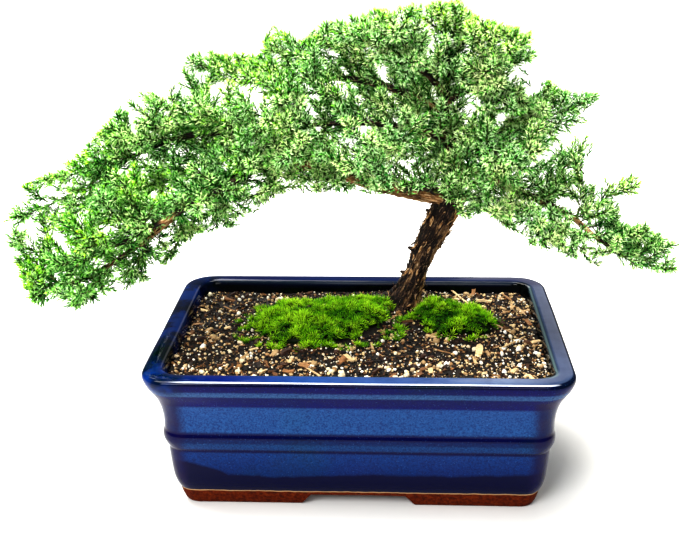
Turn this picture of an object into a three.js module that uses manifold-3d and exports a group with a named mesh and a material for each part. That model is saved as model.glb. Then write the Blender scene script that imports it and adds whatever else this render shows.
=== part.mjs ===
// A dwarf juniper bonsai in a glazed rectangular pot with soil and moss.
// Millimetres, +Z up. X runs along the pot's long side, and Y from its front to its back.
import * as THREE from 'three';
import { mergeVertices } from 'three/addons/utils/BufferGeometryUtils.js';
import Module from 'manifold-3d';

const wasm = await Module();
wasm.setup();

// Driving sizes.
const fitGap = 0.3; // kept between pieces that rest on or against each other
const pot = {
  length: 203, // over the rim
  width: 135, // over the rim
  height: 72,
  cornerRadius: 16, // at the rim's outer edge
  cornerSteps: 3,
  rimTop: 10.5, // from the rim's outer edge to where its top face ends
  wallInset: 15, // from the rim's outer edge to the inner wall
  wallLean: 5, // how much further in the inner wall stands at the floor
  floorTop: 14,
  recessTop: 6.5, // the hollow under the floor, between the feet
  footWall: 13,
};
// The pot's side from the ground up: how far it lies inside the rim's outer edge, and its height.
const potProfile = [
  [18.5, 0], [17, 8.2], [14.2, 11.2], [11.8, 18], [10.2, 28], [9.6, 33.2], [7.2, 35.2], [7.2, 39.4],
  [9.8, 41.4], [10.2, 47], [8.8, 54.5], [5.4, 60.6], [1.6, 62.6], [0, 65.4], [0.4, 69.6], [3, 72],
];
const footNotch = { frontBottom: 58, frontTop: 45, sideBottom: 34, sideTop: 22, height: 6.5 };
const drain = { radius: 6.5, offset: 44 };
const drainScreen = { side: 24, bars: 3, thickness: 1.4, barWidth: 2.4 };

const soil = {
  level: 65.5, // at the wall
  mound: 3.4, // extra height round the trunk
  moundReach: 46,
  rings: 4,
  wallGap: 0.4,
};
const chips = { count: 8, size: [2.2, 4.4], spanX: 150, frontY: -47, backY: -25 };
const mossPatches = {
  moss_left: { at: [-21, 11], half: [37, 23], height: 9, turn: 0.3 },
  moss_right: { at: [47, 12], half: [21, 16], height: 8.5, turn: -0.5 },
};
const mossTuft = 1.6;

// Woody limbs: points along the middle, radius at the start and the end, and how many sides they have.
const limbs = {
  trunk: {
    points: [[19, 31, 38], [19, 31, 54], [21, 31, 68], [27, 29, 86], [33, 27, 103], [40, 25, 119],
      [46, 23, 134]],
    radius: [6.7, 6], sides: 9, steps: 12,
  },
  leader: {
    points: [[46, 23, 131], [45, 24, 148], [43, 25, 164], [41, 26, 180], [43, 27, 194], [42, 28, 204]],
    radius: [4.4, 1.2], sides: 5, steps: 7,
  },
  cascade: {
    points: [[46, 22, 130], [27, 18, 135], [12, 14, 139], [-9, 11, 146], [-30, 8, 152], [-48, 6, 152],
      [-66, 5, 146], [-81, 4, 135], [-96, 3, 123], [-112, 1, 111], [-132, -1, 98], [-146, -4, 93]],
    radius: [4.2, 0.9], sides: 6, steps: 14,
  },
  midLeft: {
    points: [[-25, 9, 151], [-50, 17, 163], [-78, 21, 164], [-106, 22, 156], [-134, 20, 141]],
    radius: [2.1, 0.9], sides: 4, steps: 5,
  },
  backLeft: {
    points: [[-8, 12, 146], [-34, 32, 150], [-62, 46, 147], [-90, 53, 138], [-116, 54, 124]],
    radius: [2.1, 0.9], sides: 4, steps: 5,
  },
  frontLeft: {
    points: [[-48, 6, 152], [-64, -10, 145], [-88, -20, 134], [-112, -26, 122]],
    radius: [2, 0.9], sides: 4, steps: 4,
  },
  upperLeft: {
    points: [[42, 26, 172], [22, 29, 182], [-2, 33, 188], [-28, 38, 188], [-56, 44, 185]],
    radius: [2.5, 0.9], sides: 5, steps: 6,
  },
  midUpper: {
    points: [[43, 25, 160], [24, 10, 169], [0, 0, 174], [-26, -6, 174]],
    radius: [2.2, 0.9], sides: 4, steps: 4,
  },
  crownLeft: {
    points: [[41, 26, 182], [30, 22, 194], [16, 18, 202]],
    radius: [1.8, 0.9], sides: 4, steps: 3,
  },
  crownRight: {
    points: [[42, 26, 178], [54, 22, 186], [66, 20, 192]],
    radius: [1.8, 0.9], sides: 4, steps: 3,
  },
  crownBack: {
    points: [[43, 25, 166], [34, 42, 170], [20, 58, 170]],
    radius: [2, 0.9], sides: 4, steps: 3,
  },
  rightUpper: {
    points: [[44, 25, 156], [60, 31, 160], [78, 37, 164], [92, 40, 168]],
    radius: [2, 0.9], sides: 4, steps: 4,
  },
  rightMid: {
    points: [[46, 23, 150], [54, 10, 157], [62, -2, 162]],
    radius: [1.9, 0.9], sides: 4, steps: 3,
  },
  rightArm: {
    points: [[45, 24, 144], [58, 18, 145], [71, 11, 140], [86, 5, 135], [101, 0, 128], [112, -5, 120],
      [124, -8, 112]],
    radius: [2.7, 0.9], sides: 5, steps: 8,
  },
  backArm: {
    points: [[45, 26, 148], [40, 46, 149], [28, 64, 145]],
    radius: [2, 0.9], sides: 4, steps: 3,
  },
  frontArm: {
    points: [[38, 20, 134], [32, 4, 141], [22, -11, 145]],
    radius: [2, 0.9], sides: 4, steps: 3,
  },
};
// Surface roots that flare from the trunk's foot into the soil: heading in degrees and length.
const roots = [[200, 26], [262, 22], [330, 24], [95, 20]];
const rootRadius = [4.6, 1.4];
const trunkFlare = { extra: 3.4, place: 0.3, spread: 0.13 }; // the wider foot, just above the soil
const barkRidge = { trunk: 0.07, limb: 0.04 }; // how far the bark's ridges stand out, as a share
// Short dead stubs on the trunk: place along it, heading in degrees and length.
const stubs = [[0.36, 190, 4.2], [0.52, 176, 4.6], [0.62, 10, 5.5], [0.8, 150, 3.4], [0.44, 20, 3]];
const stubRadius = [1.9, 0.7];

// Leafy sprays: how far along its limb each one grows, and where its tip ends.
const sprays = {
  cascade: [
    [1, [-170, -7, 89]], [0.94, [-176, -2, 116]], [0.9, [-142, -16, 82]], [0.78, [-120, 4, 86]],
    [0.66, [-95, 6, 102]], [0.56, [-70, -4, 117]], [0.43, [-48, -8, 128]], [0.36, [-60, -14, 160]],
    [0.27, [-17, -8, 133]], [0.14, [6, -10, 160]],
  ],
  midLeft: [
    [1, [-175, 8, 124]], [0.88, [-165, 18, 140]], [0.76, [-148, 32, 154]], [0.62, [-126, 14, 170]],
    [0.46, [-105, 32, 184]], [0.3, [-80, 6, 184]],
  ],
  backLeft: [[1, [-146, 60, 120]], [0.6, [-114, 70, 160]], [0.26, [-50, 64, 154]]],
  frontLeft: [[1, [-144, -36, 116]], [0.7, [-122, -34, 142]]],
  upperLeft: [
    [1, [-87, 50, 197]], [0.82, [-64, 58, 207]], [0.64, [-41, 40, 217]], [0.46, [-20, 48, 216]],
    [0.72, [-58, 22, 192]],
  ],
  midUpper: [[1, [-56, -14, 186]], [0.85, [-34, -32, 164]], [0.6, [-28, -2, 200]], [0.45, [-4, -34, 160]]],
  crownLeft: [[1, [-4, 12, 221]], [0.6, [14, 2, 224]]],
  leader: [[1, [34, 27, 228]], [0.9, [54, 40, 223]]],
  crownRight: [[1, [80, 20, 213]], [0.6, [64, 6, 218]], [0.5, [78, 8, 188]]],
  crownBack: [[1, [-6, 80, 180]], [0.6, [30, 68, 202]]],
  rightUpper: [[1, [115, 44, 178]], [0.7, [92, 24, 190]], [0.55, [92, 64, 156]]],
  rightMid: [[1, [82, -22, 166]]],
  rightArm: [
    [1, [149, -12, 106]], [0.86, [143, 2, 124]], [0.68, [132, 13, 146]], [0.62, [115, -14, 105]],
    [0.42, [92, -18, 115]], [0.48, [108, 18, 160]], [0.24, [74, -12, 125]],
  ],
  backArm: [[1, [4, 86, 148]]],
  frontArm: [[1, [4, -36, 150]], [0.3, [54, -10, 132]]],
};
const shoot = {
  spacing: 4.7, // between whorls of three needles
  needleOut: 3.1, // from the twig's skin to a needle's point
  needleAhead: 5, // from a needle's foot to its point, along the twig
  tip: 3, // from the last whorl to the shoot's own point
};
const stem = {
  radius: [1.1, 2.6, 1.2], // at the limb, at the thickest part of its slim core, and at its tip
  bareLevels: 1, // rings before the first whorl
};
const side = {
  radius: [1.3, 0.8],
  count: 5, // side shoots on a spray
  length: [20, 13], // from the lowest side shoot to the highest
  spread: 0.85, // radians between a side shoot and its stem
  lift: 0.25, // how much of its length a side shoot bends upwards
  gap: 0.08, // kept from the rest of its own spray
};
const sprayOff = { step: 0.25, most: 3 }; // how a spray's foot is moved off its limb until it is clear
const seedStart = 1037;
const seedStep = 37;

// A small repeatable random number source.
function makeRandom(seed) {
  let state = seed;
  return () => {
    state = (state * 16807) % 2147483647;
    return state / 2147483647;
  };
}

// Conversions between three.js geometry and exact solids.
function toSolid(geometry) {
  const plain = geometry.clone();
  plain.deleteAttribute('normal');
  plain.deleteAttribute('uv');
  const merged = mergeVertices(plain, 1e-4);
  const mesh = new wasm.Mesh({
    numProp: 3,
    vertProperties: new Float32Array(merged.attributes.position.array),
    triVerts: new Uint32Array(merged.index.array),
  });
  return new wasm.Manifold(mesh);
}

function toGeometry(solid) {
  const mesh = solid.getMesh();
  const geometry = new THREE.BufferGeometry();
  geometry.setAttribute('position', new THREE.BufferAttribute(new Float32Array(mesh.vertProperties), 3));
  geometry.setIndex(new THREE.BufferAttribute(new Uint32Array(mesh.triVerts), 1));
  geometry.computeVertexNormals();
  return geometry;
}

// The largest body of a solid, without the scraps that a cut may leave.
function largestBody(solid) {
  const bodies = solid.decompose();
  return bodies.reduce((best, body) => (body.volume() > best.volume() ? body : best));
}

// A closed skin over rings of points, each ring the same count, capped by a fan at each end.
function skin(rings) {
  const count = rings[0].length;
  const positions = rings.flat().flatMap((point) => [point.x, point.y, point.z]);
  const faces = [];
  for (let ring = 0; ring + 1 < rings.length; ring++) {
    for (let i = 0; i < count; i++) {
      const a = ring * count + i;
      const b = ring * count + ((i + 1) % count);
      faces.push(a, b, b + count, a, b + count, a + count);
    }
  }
  const last = (rings.length - 1) * count;
  for (let i = 1; i + 1 < count; i++) {
    faces.push(0, i + 1, i);
    faces.push(last, last + i, last + i + 1);
  }
  const geometry = new THREE.BufferGeometry();
  geometry.setAttribute('position', new THREE.Float32BufferAttribute(positions, 3));
  geometry.setIndex(faces);
  return geometry;
}

// The pot's outline at a given distance inside the rim's outer edge.
function potOutline(inset, z) {
  const halfX = pot.length / 2 - inset;
  const halfY = pot.width / 2 - inset;
  const radius = Math.max(5, pot.cornerRadius - 0.6 * inset);
  const signs = [[1, 1], [-1, 1], [-1, -1], [1, -1]];
  return signs.flatMap(([sx, sy], corner) => {
    const points = [];
    for (let step = 0; step <= pot.cornerSteps; step++) {
      const turn = (corner + step / pot.cornerSteps) * Math.PI / 2;
      points.push(new THREE.Vector3(
        sx * (halfX - radius) + radius * Math.cos(turn),
        sy * (halfY - radius) + radius * Math.sin(turn),
        z,
      ));
    }
    return points;
  });
}

// The inner wall leans in a little towards the floor.
function innerInset(z) {
  return pot.wallInset + pot.wallLean * (1 - (z - pot.floorTop) / (pot.height - pot.floorTop)) ** 1.5;
}

// A trapezoid bar that cuts the gap between two feet, along the given axis.
function footNotchBar(bottom, top, along) {
  const shape = new THREE.Shape([
    new THREE.Vector2(-bottom / 2, -1),
    new THREE.Vector2(bottom / 2, -1),
    new THREE.Vector2(bottom / 2, 0),
    new THREE.Vector2(top / 2, footNotch.height),
    new THREE.Vector2(-top / 2, footNotch.height),
    new THREE.Vector2(-bottom / 2, 0),
  ]);
  const depth = pot.length * 1.2;
  const bar = new THREE.ExtrudeGeometry(shape, { depth, bevelEnabled: false });
  bar.translate(0, 0, -depth / 2);
  bar.rotateX(Math.PI / 2);
  if (along === 'x') bar.rotateZ(Math.PI / 2);
  return toSolid(bar);
}

function buildPot() {
  const rings = potProfile.map(([inset, z]) => potOutline(inset, z));
  rings.push(potOutline(pot.rimTop, pot.height));
  rings.push(potOutline(innerInset(pot.height) - 2, pot.height - 2));
  for (const z of [58, 36, pot.floorTop]) rings.push(potOutline(innerInset(z), z));
  let solid = toSolid(skin(rings));
  const recessInset = potProfile[0][0] + pot.footWall;
  const recess = toSolid(skin([potOutline(recessInset, -1), potOutline(recessInset, pot.recessTop)]));
  solid = solid.subtract(recess);
  solid = solid.subtract(footNotchBar(footNotch.frontBottom, footNotch.frontTop, 'y'));
  solid = solid.subtract(footNotchBar(footNotch.sideBottom, footNotch.sideTop, 'x'));
  for (const side of [-1, 1]) {
    const hole = new THREE.CylinderGeometry(drain.radius, drain.radius, 2 * pot.floorTop, 12);
    hole.rotateX(Math.PI / 2);
    hole.translate(side * drain.offset, 0, pot.floorTop);
    solid = solid.subtract(toSolid(hole));
  }
  return solid;
}

// A square of plastic mesh that keeps the soil out of a drain hole: bars that cross in a grid.
function buildDrainScreen(side) {
  const reach = (drainScreen.side - drainScreen.barWidth) / 2;
  let screen = null;
  for (let bar = 0; bar < drainScreen.bars; bar++) {
    const place = between([-reach, reach], bar / (drainScreen.bars - 1));
    for (const along of [0, 1]) {
      const rod = new THREE.BoxGeometry(drainScreen.side, drainScreen.barWidth, drainScreen.thickness);
      rod.translate(0, place, 0);
      rod.rotateZ(along * Math.PI / 2);
      rod.translate(side * drain.offset, 0, pot.floorTop + fitGap + drainScreen.thickness / 2);
      screen = screen ? screen.add(toSolid(rod)) : toSolid(rod);
    }
  }
  return screen;
}

// Height of the soil at a place: a low mound round the trunk, and crumbs by formula.
function soilHeight(x, y) {
  const [trunkX, trunkY] = limbs.trunk.points[2];
  const reach = Math.hypot(x - trunkX, y - trunkY) / soil.moundReach;
  const mound = soil.mound * Math.exp(-reach * reach * 2);
  const crumbs = 0.5 * Math.sin(x * 0.13 + 1.3) * Math.cos(y * 0.17);
  return soil.level + mound + crumbs;
}

// The soil as it fills the pot, before the trunk takes its place in it.
function buildSoil() {
  const bottom = pot.floorTop + fitGap;
  const sideRing = (z) => denseOutline(innerInset(z) + soil.wallGap, z);
  const rings = [sideRing(bottom), sideRing(36)];
  const edge = sideRing(soil.level);
  for (let ring = 0; ring < soil.rings; ring++) {
    const share = 1 - ring / (soil.rings - 0.35);
    rings.push(edge.map((point) => {
      const x = point.x * share;
      const y = point.y * share;
      return new THREE.Vector3(x, y, soilHeight(x, y));
    }));
  }
  let solid = toSolid(skin(rings));
  for (const side of [-1, 1]) {
    const room = new THREE.BoxGeometry(drainScreen.side + 0.6, drainScreen.side + 0.6, 8);
    room.translate(side * drain.offset, 0, pot.floorTop + fitGap + drainScreen.thickness + fitGap - 4);
    solid = solid.subtract(toSolid(room));
  }
  for (const chip of buildChips()) solid = solid.add(chip);
  return solid;
}

// The pot's outline with its straight sides split, so that a bumpy surface can follow it.
function denseOutline(inset, z) {
  const points = potOutline(inset, z);
  return points.flatMap((point, i) => {
    const next = points[(i + 1) % points.length];
    const length = point.distanceTo(next);
    const parts = length > 100 ? 6 : length > 50 ? 4 : 1;
    return Array.from({ length: parts }, (_, part) => point.clone().lerp(next, part / parts));
  });
}

// Bark chips and stones that stick out of the soil, sunk well in.
function buildChips() {
  const random = makeRandom(71);
  return Array.from({ length: chips.count }, () => {
    const x = (random() - 0.5) * chips.spanX;
    const y = between([chips.frontY, chips.backY], random());
    const size = between(chips.size, random());
    const chip = new THREE.OctahedronGeometry(size, 0);
    chip.scale(1, 0.6, 0.5);
    chip.rotateZ(random() * Math.PI);
    chip.translate(x, y, soilHeight(x, y) + 0.3);
    return toSolid(chip);
  });
}

// Raises each upward face of a closed skin into a small tuft.
function raiseTufts(geometry, height) {
  const points = geometry.attributes.position;
  const faces = geometry.index.array;
  const mesh = { points: [], faces: [] };
  for (let i = 0; i < points.count; i++) addPoint(mesh, new THREE.Vector3().fromBufferAttribute(points, i));
  for (let i = 0; i < faces.length; i += 3) {
    const face = [faces[i], faces[i + 1], faces[i + 2]];
    const [a, b, c] = face.map((index) => mesh.points[index]);
    const triangle = new THREE.Triangle(a, b, c);
    const normal = triangle.getNormal(new THREE.Vector3());
    if (normal.z < 0.2 || triangle.getArea() < 1) {
      mesh.faces.push(face);
      continue;
    }
    const top = addPoint(mesh, centroid(mesh, face).addScaledVector(normal, height));
    mesh.faces.push([face[0], face[1], top], [face[1], face[2], top], [face[2], face[0], top]);
  }
  return meshSolid(mesh);
}

// A cushion of moss that lies on the soil: a low dome with a lobed edge, covered in tufts.
function buildMoss(patch, clearances) {
  const sides = Math.round(patch.half[0] / 1.7);
  const levels = [[1, -0.3], [1.01, 0.3], [0.82, 0.75], [0.5, 0.96], [0.04, 1]];
  const rings = levels.map(([reach, rise]) => Array.from({ length: sides }, (_, i) => {
    const angle = (i / sides) * Math.PI * 2;
    const lobes = 1 + 0.1 * Math.sin(3 * angle + 1) + 0.06 * Math.sin(7 * angle);
    const px = Math.cos(angle) * patch.half[0] * reach * lobes;
    const py = Math.sin(angle) * patch.half[1] * reach * lobes;
    const x = patch.at[0] + px * Math.cos(patch.turn) - py * Math.sin(patch.turn);
    const y = patch.at[1] + px * Math.sin(patch.turn) + py * Math.cos(patch.turn);
    const ground = reach < 0.1 ? soilHeight(...patch.at) : soilHeight(x, y);
    return new THREE.Vector3(x, y, ground + (patch.height - mossTuft) * rise);
  }));
  let solid = raiseTufts(skin(rings), mossTuft);
  for (const clearance of clearances) solid = solid.subtract(clearance);
  return largestBody(solid);
}

// A tapered limb along a smooth curve, with bark ridges where asked.
function taperedTube(points, radiusAt, sides, steps, ridge = 0) {
  const curve = new THREE.CatmullRomCurve3(points, false, 'catmullrom', 0.5);
  const frames = curve.computeFrenetFrames(steps, false);
  const rings = [];
  for (let step = 0; step <= steps; step++) {
    const share = step / steps;
    const middle = curve.getPointAt(share);
    rings.push(Array.from({ length: sides }, (_, i) => {
      const angle = (i / sides) * Math.PI * 2;
      const furrow = 0.6 * Math.cos(4 * angle + 5 * share) + 0.4 * Math.sin(7 * angle - 9 * share);
      const flake = 0.5 * Math.sin(share * 40 + i * 2.4);
      const radius = radiusAt(share) * (1 + ridge * (furrow + flake));
      return middle.clone()
        .addScaledVector(frames.normals[step], radius * Math.cos(angle))
        .addScaledVector(frames.binormals[step], radius * Math.sin(angle));
    }));
  }
  return toSolid(skin(rings));
}

const vector = (list) => new THREE.Vector3(...list);
const between = (range, share) => range[0] + (range[1] - range[0]) * share;

function limbCurve(name) {
  return new THREE.CatmullRomCurve3(limbs[name].points.map(vector), false, 'catmullrom', 0.5);
}

// Direction from a compass heading and a rise, both in degrees.
function heading(degrees, rise = 0) {
  const turn = THREE.MathUtils.degToRad(degrees);
  const lift = THREE.MathUtils.degToRad(rise);
  return new THREE.Vector3(Math.cos(turn) * Math.cos(lift), Math.sin(turn) * Math.cos(lift), Math.sin(lift));
}

// How much wider the trunk is near its foot.
function flareAt(share) {
  const away = (share - trunkFlare.place) / trunkFlare.spread;
  return trunkFlare.extra * Math.exp(-away * away);
}

// All the wood as one body. With grow above zero it is the same body with a thicker skin.
function buildWood(grow = 0) {
  let wood = null;
  const join = (piece) => { wood = wood ? wood.add(piece) : piece; };
  for (const [name, limb] of Object.entries(limbs)) {
    const isTrunk = name === 'trunk';
    const radiusAt = (share) => (isTrunk
      ? between(limb.radius, share) + flareAt(share) + grow
      : between(limb.radius, share ** 0.8) + grow);
    const ridge = isTrunk ? barkRidge.trunk : barkRidge.limb;
    join(taperedTube(limb.points.map(vector), radiusAt, limb.sides, limb.steps, ridge));
  }
  const foot = vector(limbs.trunk.points[2]);
  for (const [degrees, length] of roots) {
    const away = heading(degrees);
    const path = [0, 0.35, 0.7, 1].map((share) => foot.clone()
      .addScaledVector(away, length * share)
      .add(new THREE.Vector3(0, 0, 3 - 12 * share * share - 3 * share)));
    join(taperedTube(path, (share) => between(rootRadius, share) + grow, 5, 3));
  }
  const trunkCurve = limbCurve('trunk');
  for (const [place, degrees, length] of stubs) {
    const start = trunkCurve.getPoint(place);
    const reach = between(limbs.trunk.radius, place) + length;
    const outward = heading(degrees, 30);
    const path = [0, 0.6, 1].map((share) => start.clone().addScaledVector(outward, reach * share));
    join(taperedTube(path, (share) => between(stubRadius, share) + grow, 4, 2));
  }
  return wood;
}

// Puts a point in a mesh that is being built, and returns its number.
const addPoint = (mesh, point) => mesh.points.push(point) - 1;

function meshSolid(mesh) {
  const geometry = new THREE.BufferGeometry();
  const positions = mesh.points.flatMap((point) => point.toArray());
  geometry.setAttribute('position', new THREE.Float32BufferAttribute(positions, 3));
  geometry.setIndex(mesh.faces.flat());
  return toSolid(geometry);
}

function centroid(mesh, ring) {
  const sum = ring.reduce((total, index) => total.add(mesh.points[index]), new THREE.Vector3());
  return sum.divideScalar(ring.length);
}

// Grows a shoot from a ring of three points: more such rings along a curve, each turned by a sixth of a turn
// against the last. Of the six faces between two rings, three rise into a whorl of needles, or onFace takes
// one of them for itself.
function growShoot(mesh, base, curve, radiusAt, bareLevels, random, onFace) {
  const length = curve.getLength();
  const levels = Math.max(2, Math.round((length - shoot.tip) / shoot.spacing));
  let ring = base;
  for (let level = 1; level <= levels; level++) {
    const share = (level / levels) * (1 - shoot.tip / length);
    const ahead = curve.getTangentAt(share);
    const from = centroid(mesh, ring);
    const outward = ring.map((index, k) => {
      const middle = mesh.points[index].clone().lerp(mesh.points[ring[(k + 1) % 3]], 0.5).sub(from);
      return middle.addScaledVector(ahead, -middle.dot(ahead)).normalize();
    });
    const centre = curve.getPointAt(share);
    const next = outward.map((out) => addPoint(mesh, centre.clone().addScaledVector(out, radiusAt(share))));
    for (let k = 0; k < 3; k++) {
      const face = [ring[k], ring[(k + 1) % 3], next[k]];
      mesh.faces.push([ring[(k + 1) % 3], next[(k + 1) % 3], next[k]]);
      const size = 0.88 + 0.24 * random();
      if (onFace && onFace(mesh, face, level, k, ahead, outward[k])) continue;
      if (level <= bareLevels) {
        mesh.faces.push(face);
        continue;
      }
      const point = from.clone().addScaledVector(ahead, shoot.needleAhead * size)
        .addScaledVector(outward[k], radiusAt(share) + shoot.needleOut * size);
      const needle = addPoint(mesh, point);
      mesh.faces.push([face[0], face[1], needle], [face[1], face[2], needle], [face[2], face[0], needle]);
    }
    ring = next;
  }
  const tip = addPoint(mesh, curve.getPointAt(1));
  for (let k = 0; k < 3; k++) mesh.faces.push([ring[k], ring[(k + 1) % 3], tip]);
}

// A ring of three points round the start of a curve, closed on the side that faces back.
function startRing(mesh, curve, radius, spin) {
  const ahead = curve.getTangentAt(0);
  const sideways = new THREE.Vector3(0, 0, 1).cross(ahead).normalize();
  const over = ahead.clone().cross(sideways);
  const ring = [0, 1, 2].map((k) => {
    const angle = spin + (k * 2 * Math.PI) / 3;
    const away = sideways.clone().multiplyScalar(Math.cos(angle)).addScaledVector(over, Math.sin(angle));
    return addPoint(mesh, curve.getPointAt(0).addScaledVector(away, radius));
  });
  mesh.faces.push([ring[2], ring[1], ring[0]]);
  return ring;
}

// True if a solid keeps a distance from all the others.
function isClear(solid, others, gap = fitGap) {
  const box = solid.boundingBox();
  return others.every((other) => {
    const apart = [0, 1, 2].some((axis) => (
      box.min[axis] - gap > other.box.max[axis] || box.max[axis] + gap < other.box.min[axis]
    ));
    return apart || solid.minGap(other.solid, 2 * gap) > gap;
  });
}

const withBox = (solid) => ({ solid, box: solid.boundingBox() });

// A curve from a side shoot's foot, out from its stem and then bending upwards.
function sideCurve(start, ahead, outward, length) {
  const direction = ahead.clone().multiplyScalar(Math.cos(side.spread))
    .addScaledVector(outward, Math.sin(side.spread));
  const control = start.clone().addScaledVector(direction, length / 2);
  const end = start.clone().addScaledVector(direction, length);
  end.z += side.lift * length;
  return new THREE.QuadraticBezierCurve3(start, control, end);
}

const sideRadius = (share) => between(side.radius, share);
const stemRadius = (share) => (share < 0.5
  ? THREE.MathUtils.lerp(stem.radius[0], stem.radius[1], share * 2)
  : THREE.MathUtils.lerp(stem.radius[1], stem.radius[2], share * 2 - 1));

// A whole spray as one skin: a needled stem along a curve, with the chosen side shoots grown from its faces.
// A chosen place whose length is zero stays a flat face.
function sprayMesh(curve, seed, chosen) {
  const mesh = { points: [], faces: [] };
  const onFace = (_, face, level, k, ahead, outward) => {
    const choice = chosen.find((entry) => entry.level === level && entry.k === k);
    if (!choice) return false;
    if (choice.length === 0) {
      mesh.faces.push(face);
      return true;
    }
    const foot = sideCurve(centroid(mesh, face), ahead, outward, choice.length);
    growShoot(mesh, face, foot, sideRadius, 1, makeRandom(seed + level * 31 + k), null);
    return true;
  };
  const base = startRing(mesh, curve, stem.radius[0], seed % 7);
  growShoot(mesh, base, curve, stemRadius, stem.bareLevels, makeRandom(seed), onFace);
  return mesh;
}

// One side shoot by itself, a little off its stem, to test that it is clear.
function loneSideShoot(curve, seed, level, k, length) {
  const mesh = { points: [], faces: [] };
  const stemOnly = { points: [], faces: [] };
  const onFace = (_, face, faceLevel, faceK, ahead, outward) => {
    if (faceLevel !== level || faceK !== k) return false;
    const middle = centroid(stemOnly, face);
    const path = sideCurve(middle, ahead, outward, length);
    const base = face.map((index) => {
      const lifted = stemOnly.points[index].clone().lerp(middle, 0.2).lerp(path.getPointAt(0.3), 0.15);
      return addPoint(mesh, lifted);
    });
    mesh.faces.push([base[2], base[1], base[0]]);
    growShoot(mesh, base, path, sideRadius, 1, makeRandom(seed + level * 31 + k), null);
    return false;
  };
  const base = startRing(stemOnly, curve, stem.radius[0], seed % 7);
  growShoot(stemOnly, base, curve, stemRadius, stem.bareLevels, makeRandom(seed), onFace);
  return meshSolid(mesh);
}

// The ways that a stem may bow to get past its neighbours: sideways in mm, and its dip as a share.
const stemWays = [0.1, 0.25, -0.1].flatMap((dip) => [0, 6, -6, 12, -12, 18, -18].map((sway) => [sway, dip]));

// The curve of a spray's stem, from just outside its limb to its tip, on the first way that is clear.
function stemCurve(limbName, place, tip, seed, placed, wood) {
  const limb = limbs[limbName];
  const start = limbCurve(limbName).getPoint(place);
  const across = tip.clone().sub(start).cross(new THREE.Vector3(0, 0, 1)).normalize();
  const limbRadius = place < 1 ? between(limb.radius, place) : 0;
  for (const [sway, dip] of stemWays) {
    const control = start.clone().lerp(tip, 0.5).addScaledVector(across, sway);
    control.z -= dip * start.distanceTo(tip);
    const whole = new THREE.QuadraticBezierCurve3(start, control, tip);
    const length = whole.getLength();
    for (let off = limbRadius; off < limbRadius + sprayOff.most; off += sprayOff.step) {
      const shares = [0, 0.25, 0.5, 0.75, 1].map((share) => between([off / length, 1], share));
      const curve = new THREE.CatmullRomCurve3(shares.map((share) => whole.getPointAt(share)));
      const solid = meshSolid(sprayMesh(curve, seed, []));
      if (!isClear(solid, [wood])) continue;
      if (isClear(solid, placed)) return curve;
      break;
    }
  }
  throw new Error(`no clear way for the spray on ${limbName} at ${place}`);
}

// A leafy spray: side shoots are chosen level by level, on the first face of the stem where each is clear.
function buildSpray(limbName, place, tip, seed, placed, wood) {
  const curve = stemCurve(limbName, place, vector(tip), seed, placed, wood);
  const random = makeRandom(seed + 5);
  const levels = Math.round((curve.getLength() - shoot.tip) / shoot.spacing);
  const lowest = stem.bareLevels;
  const highest = levels - 1;
  const chosen = [];
  for (let i = 0; i < side.count; i++) {
    const level = Math.round(between([lowest, highest], i / (side.count - 1)));
    const length = between(side.length, i / (side.count - 1)) * (0.85 + 0.3 * random());
    const first = Math.floor(random() * 3);
    for (const turn of [0, 1, 2]) {
      const k = (first + turn) % 3;
      if (chosen.some((entry) => entry.level === level && entry.k === k)) continue;
      const rest = meshSolid(sprayMesh(curve, seed, [...chosen, { level, k, length: 0 }]));
      const lone = loneSideShoot(curve, seed, level, k, length);
      if (isClear(lone, [withBox(rest)], side.gap) && isClear(lone, [wood, ...placed])) {
        chosen.push({ level, k, length });
        break;
      }
    }
  }
  return meshSolid(sprayMesh(curve, seed, chosen));
}

const materials = {
  glaze: new THREE.MeshStandardMaterial({ color: 0x16307c, roughness: 0.15, metalness: 0 }),
  mesh: new THREE.MeshStandardMaterial({ color: 0x1f2320, roughness: 0.6, metalness: 0 }),
  soil: new THREE.MeshStandardMaterial({ color: 0x3a2a20, roughness: 0.95, metalness: 0 }),
  moss: new THREE.MeshStandardMaterial({ color: 0x4f8f12, roughness: 0.9, metalness: 0 }),
  bark: new THREE.MeshStandardMaterial({ color: 0x6a4a30, roughness: 0.85, metalness: 0 }),
  needles: new THREE.MeshStandardMaterial({ color: 0x4f9a4c, roughness: 0.6, metalness: 0 }),
};

const group = new THREE.Group();
function addNode(name, solid, material) {
  const mesh = new THREE.Mesh(toGeometry(solid), material);
  mesh.name = name;
  group.add(mesh);
}

const wood = buildWood();
const woodClearance = buildWood(fitGap + 0.1);
const ground = buildSoil();
addNode('pot', buildPot(), materials.glaze);
addNode('drain_screen_left', buildDrainScreen(-1), materials.mesh);
addNode('drain_screen_right', buildDrainScreen(1), materials.mesh);
addNode('soil', largestBody(ground.subtract(woodClearance)), materials.soil);
addNode('trunk_and_branches', wood, materials.bark);
const soilClearance = ground.translate([0, 0, fitGap]);
for (const [name, patch] of Object.entries(mossPatches)) {
  addNode(name, buildMoss(patch, [soilClearance, woodClearance]), materials.moss);
}

const woodInTheWay = withBox(wood);
const placed = [];
for (const [limbName, list] of Object.entries(sprays)) {
  list.forEach(([place, tip], i) => {
    const seed = seedStart + placed.length * seedStep;
    const body = buildSpray(limbName, place, tip, seed, placed, woodInTheWay);
    placed.push(withBox(body));
    addNode(`spray_${limbName}_${i + 1}`, body, materials.needles);
  });
}

// The origin goes to the middle of the whole plant's outline, on the ground.
const outline = new THREE.Box3().setFromObject(group);
const centre = outline.getCenter(new THREE.Vector3());
group.position.set(-centre.x, -centre.y, -outline.min.z);
group.updateMatrixWorld(true);

export default group;
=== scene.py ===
import math
import random

import bmesh
import bpy
import numpy as np
from mathutils import Matrix, Vector, noise
from mathutils.bvhtree import BVHTree
from mathutils.kdtree import KDTree


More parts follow.
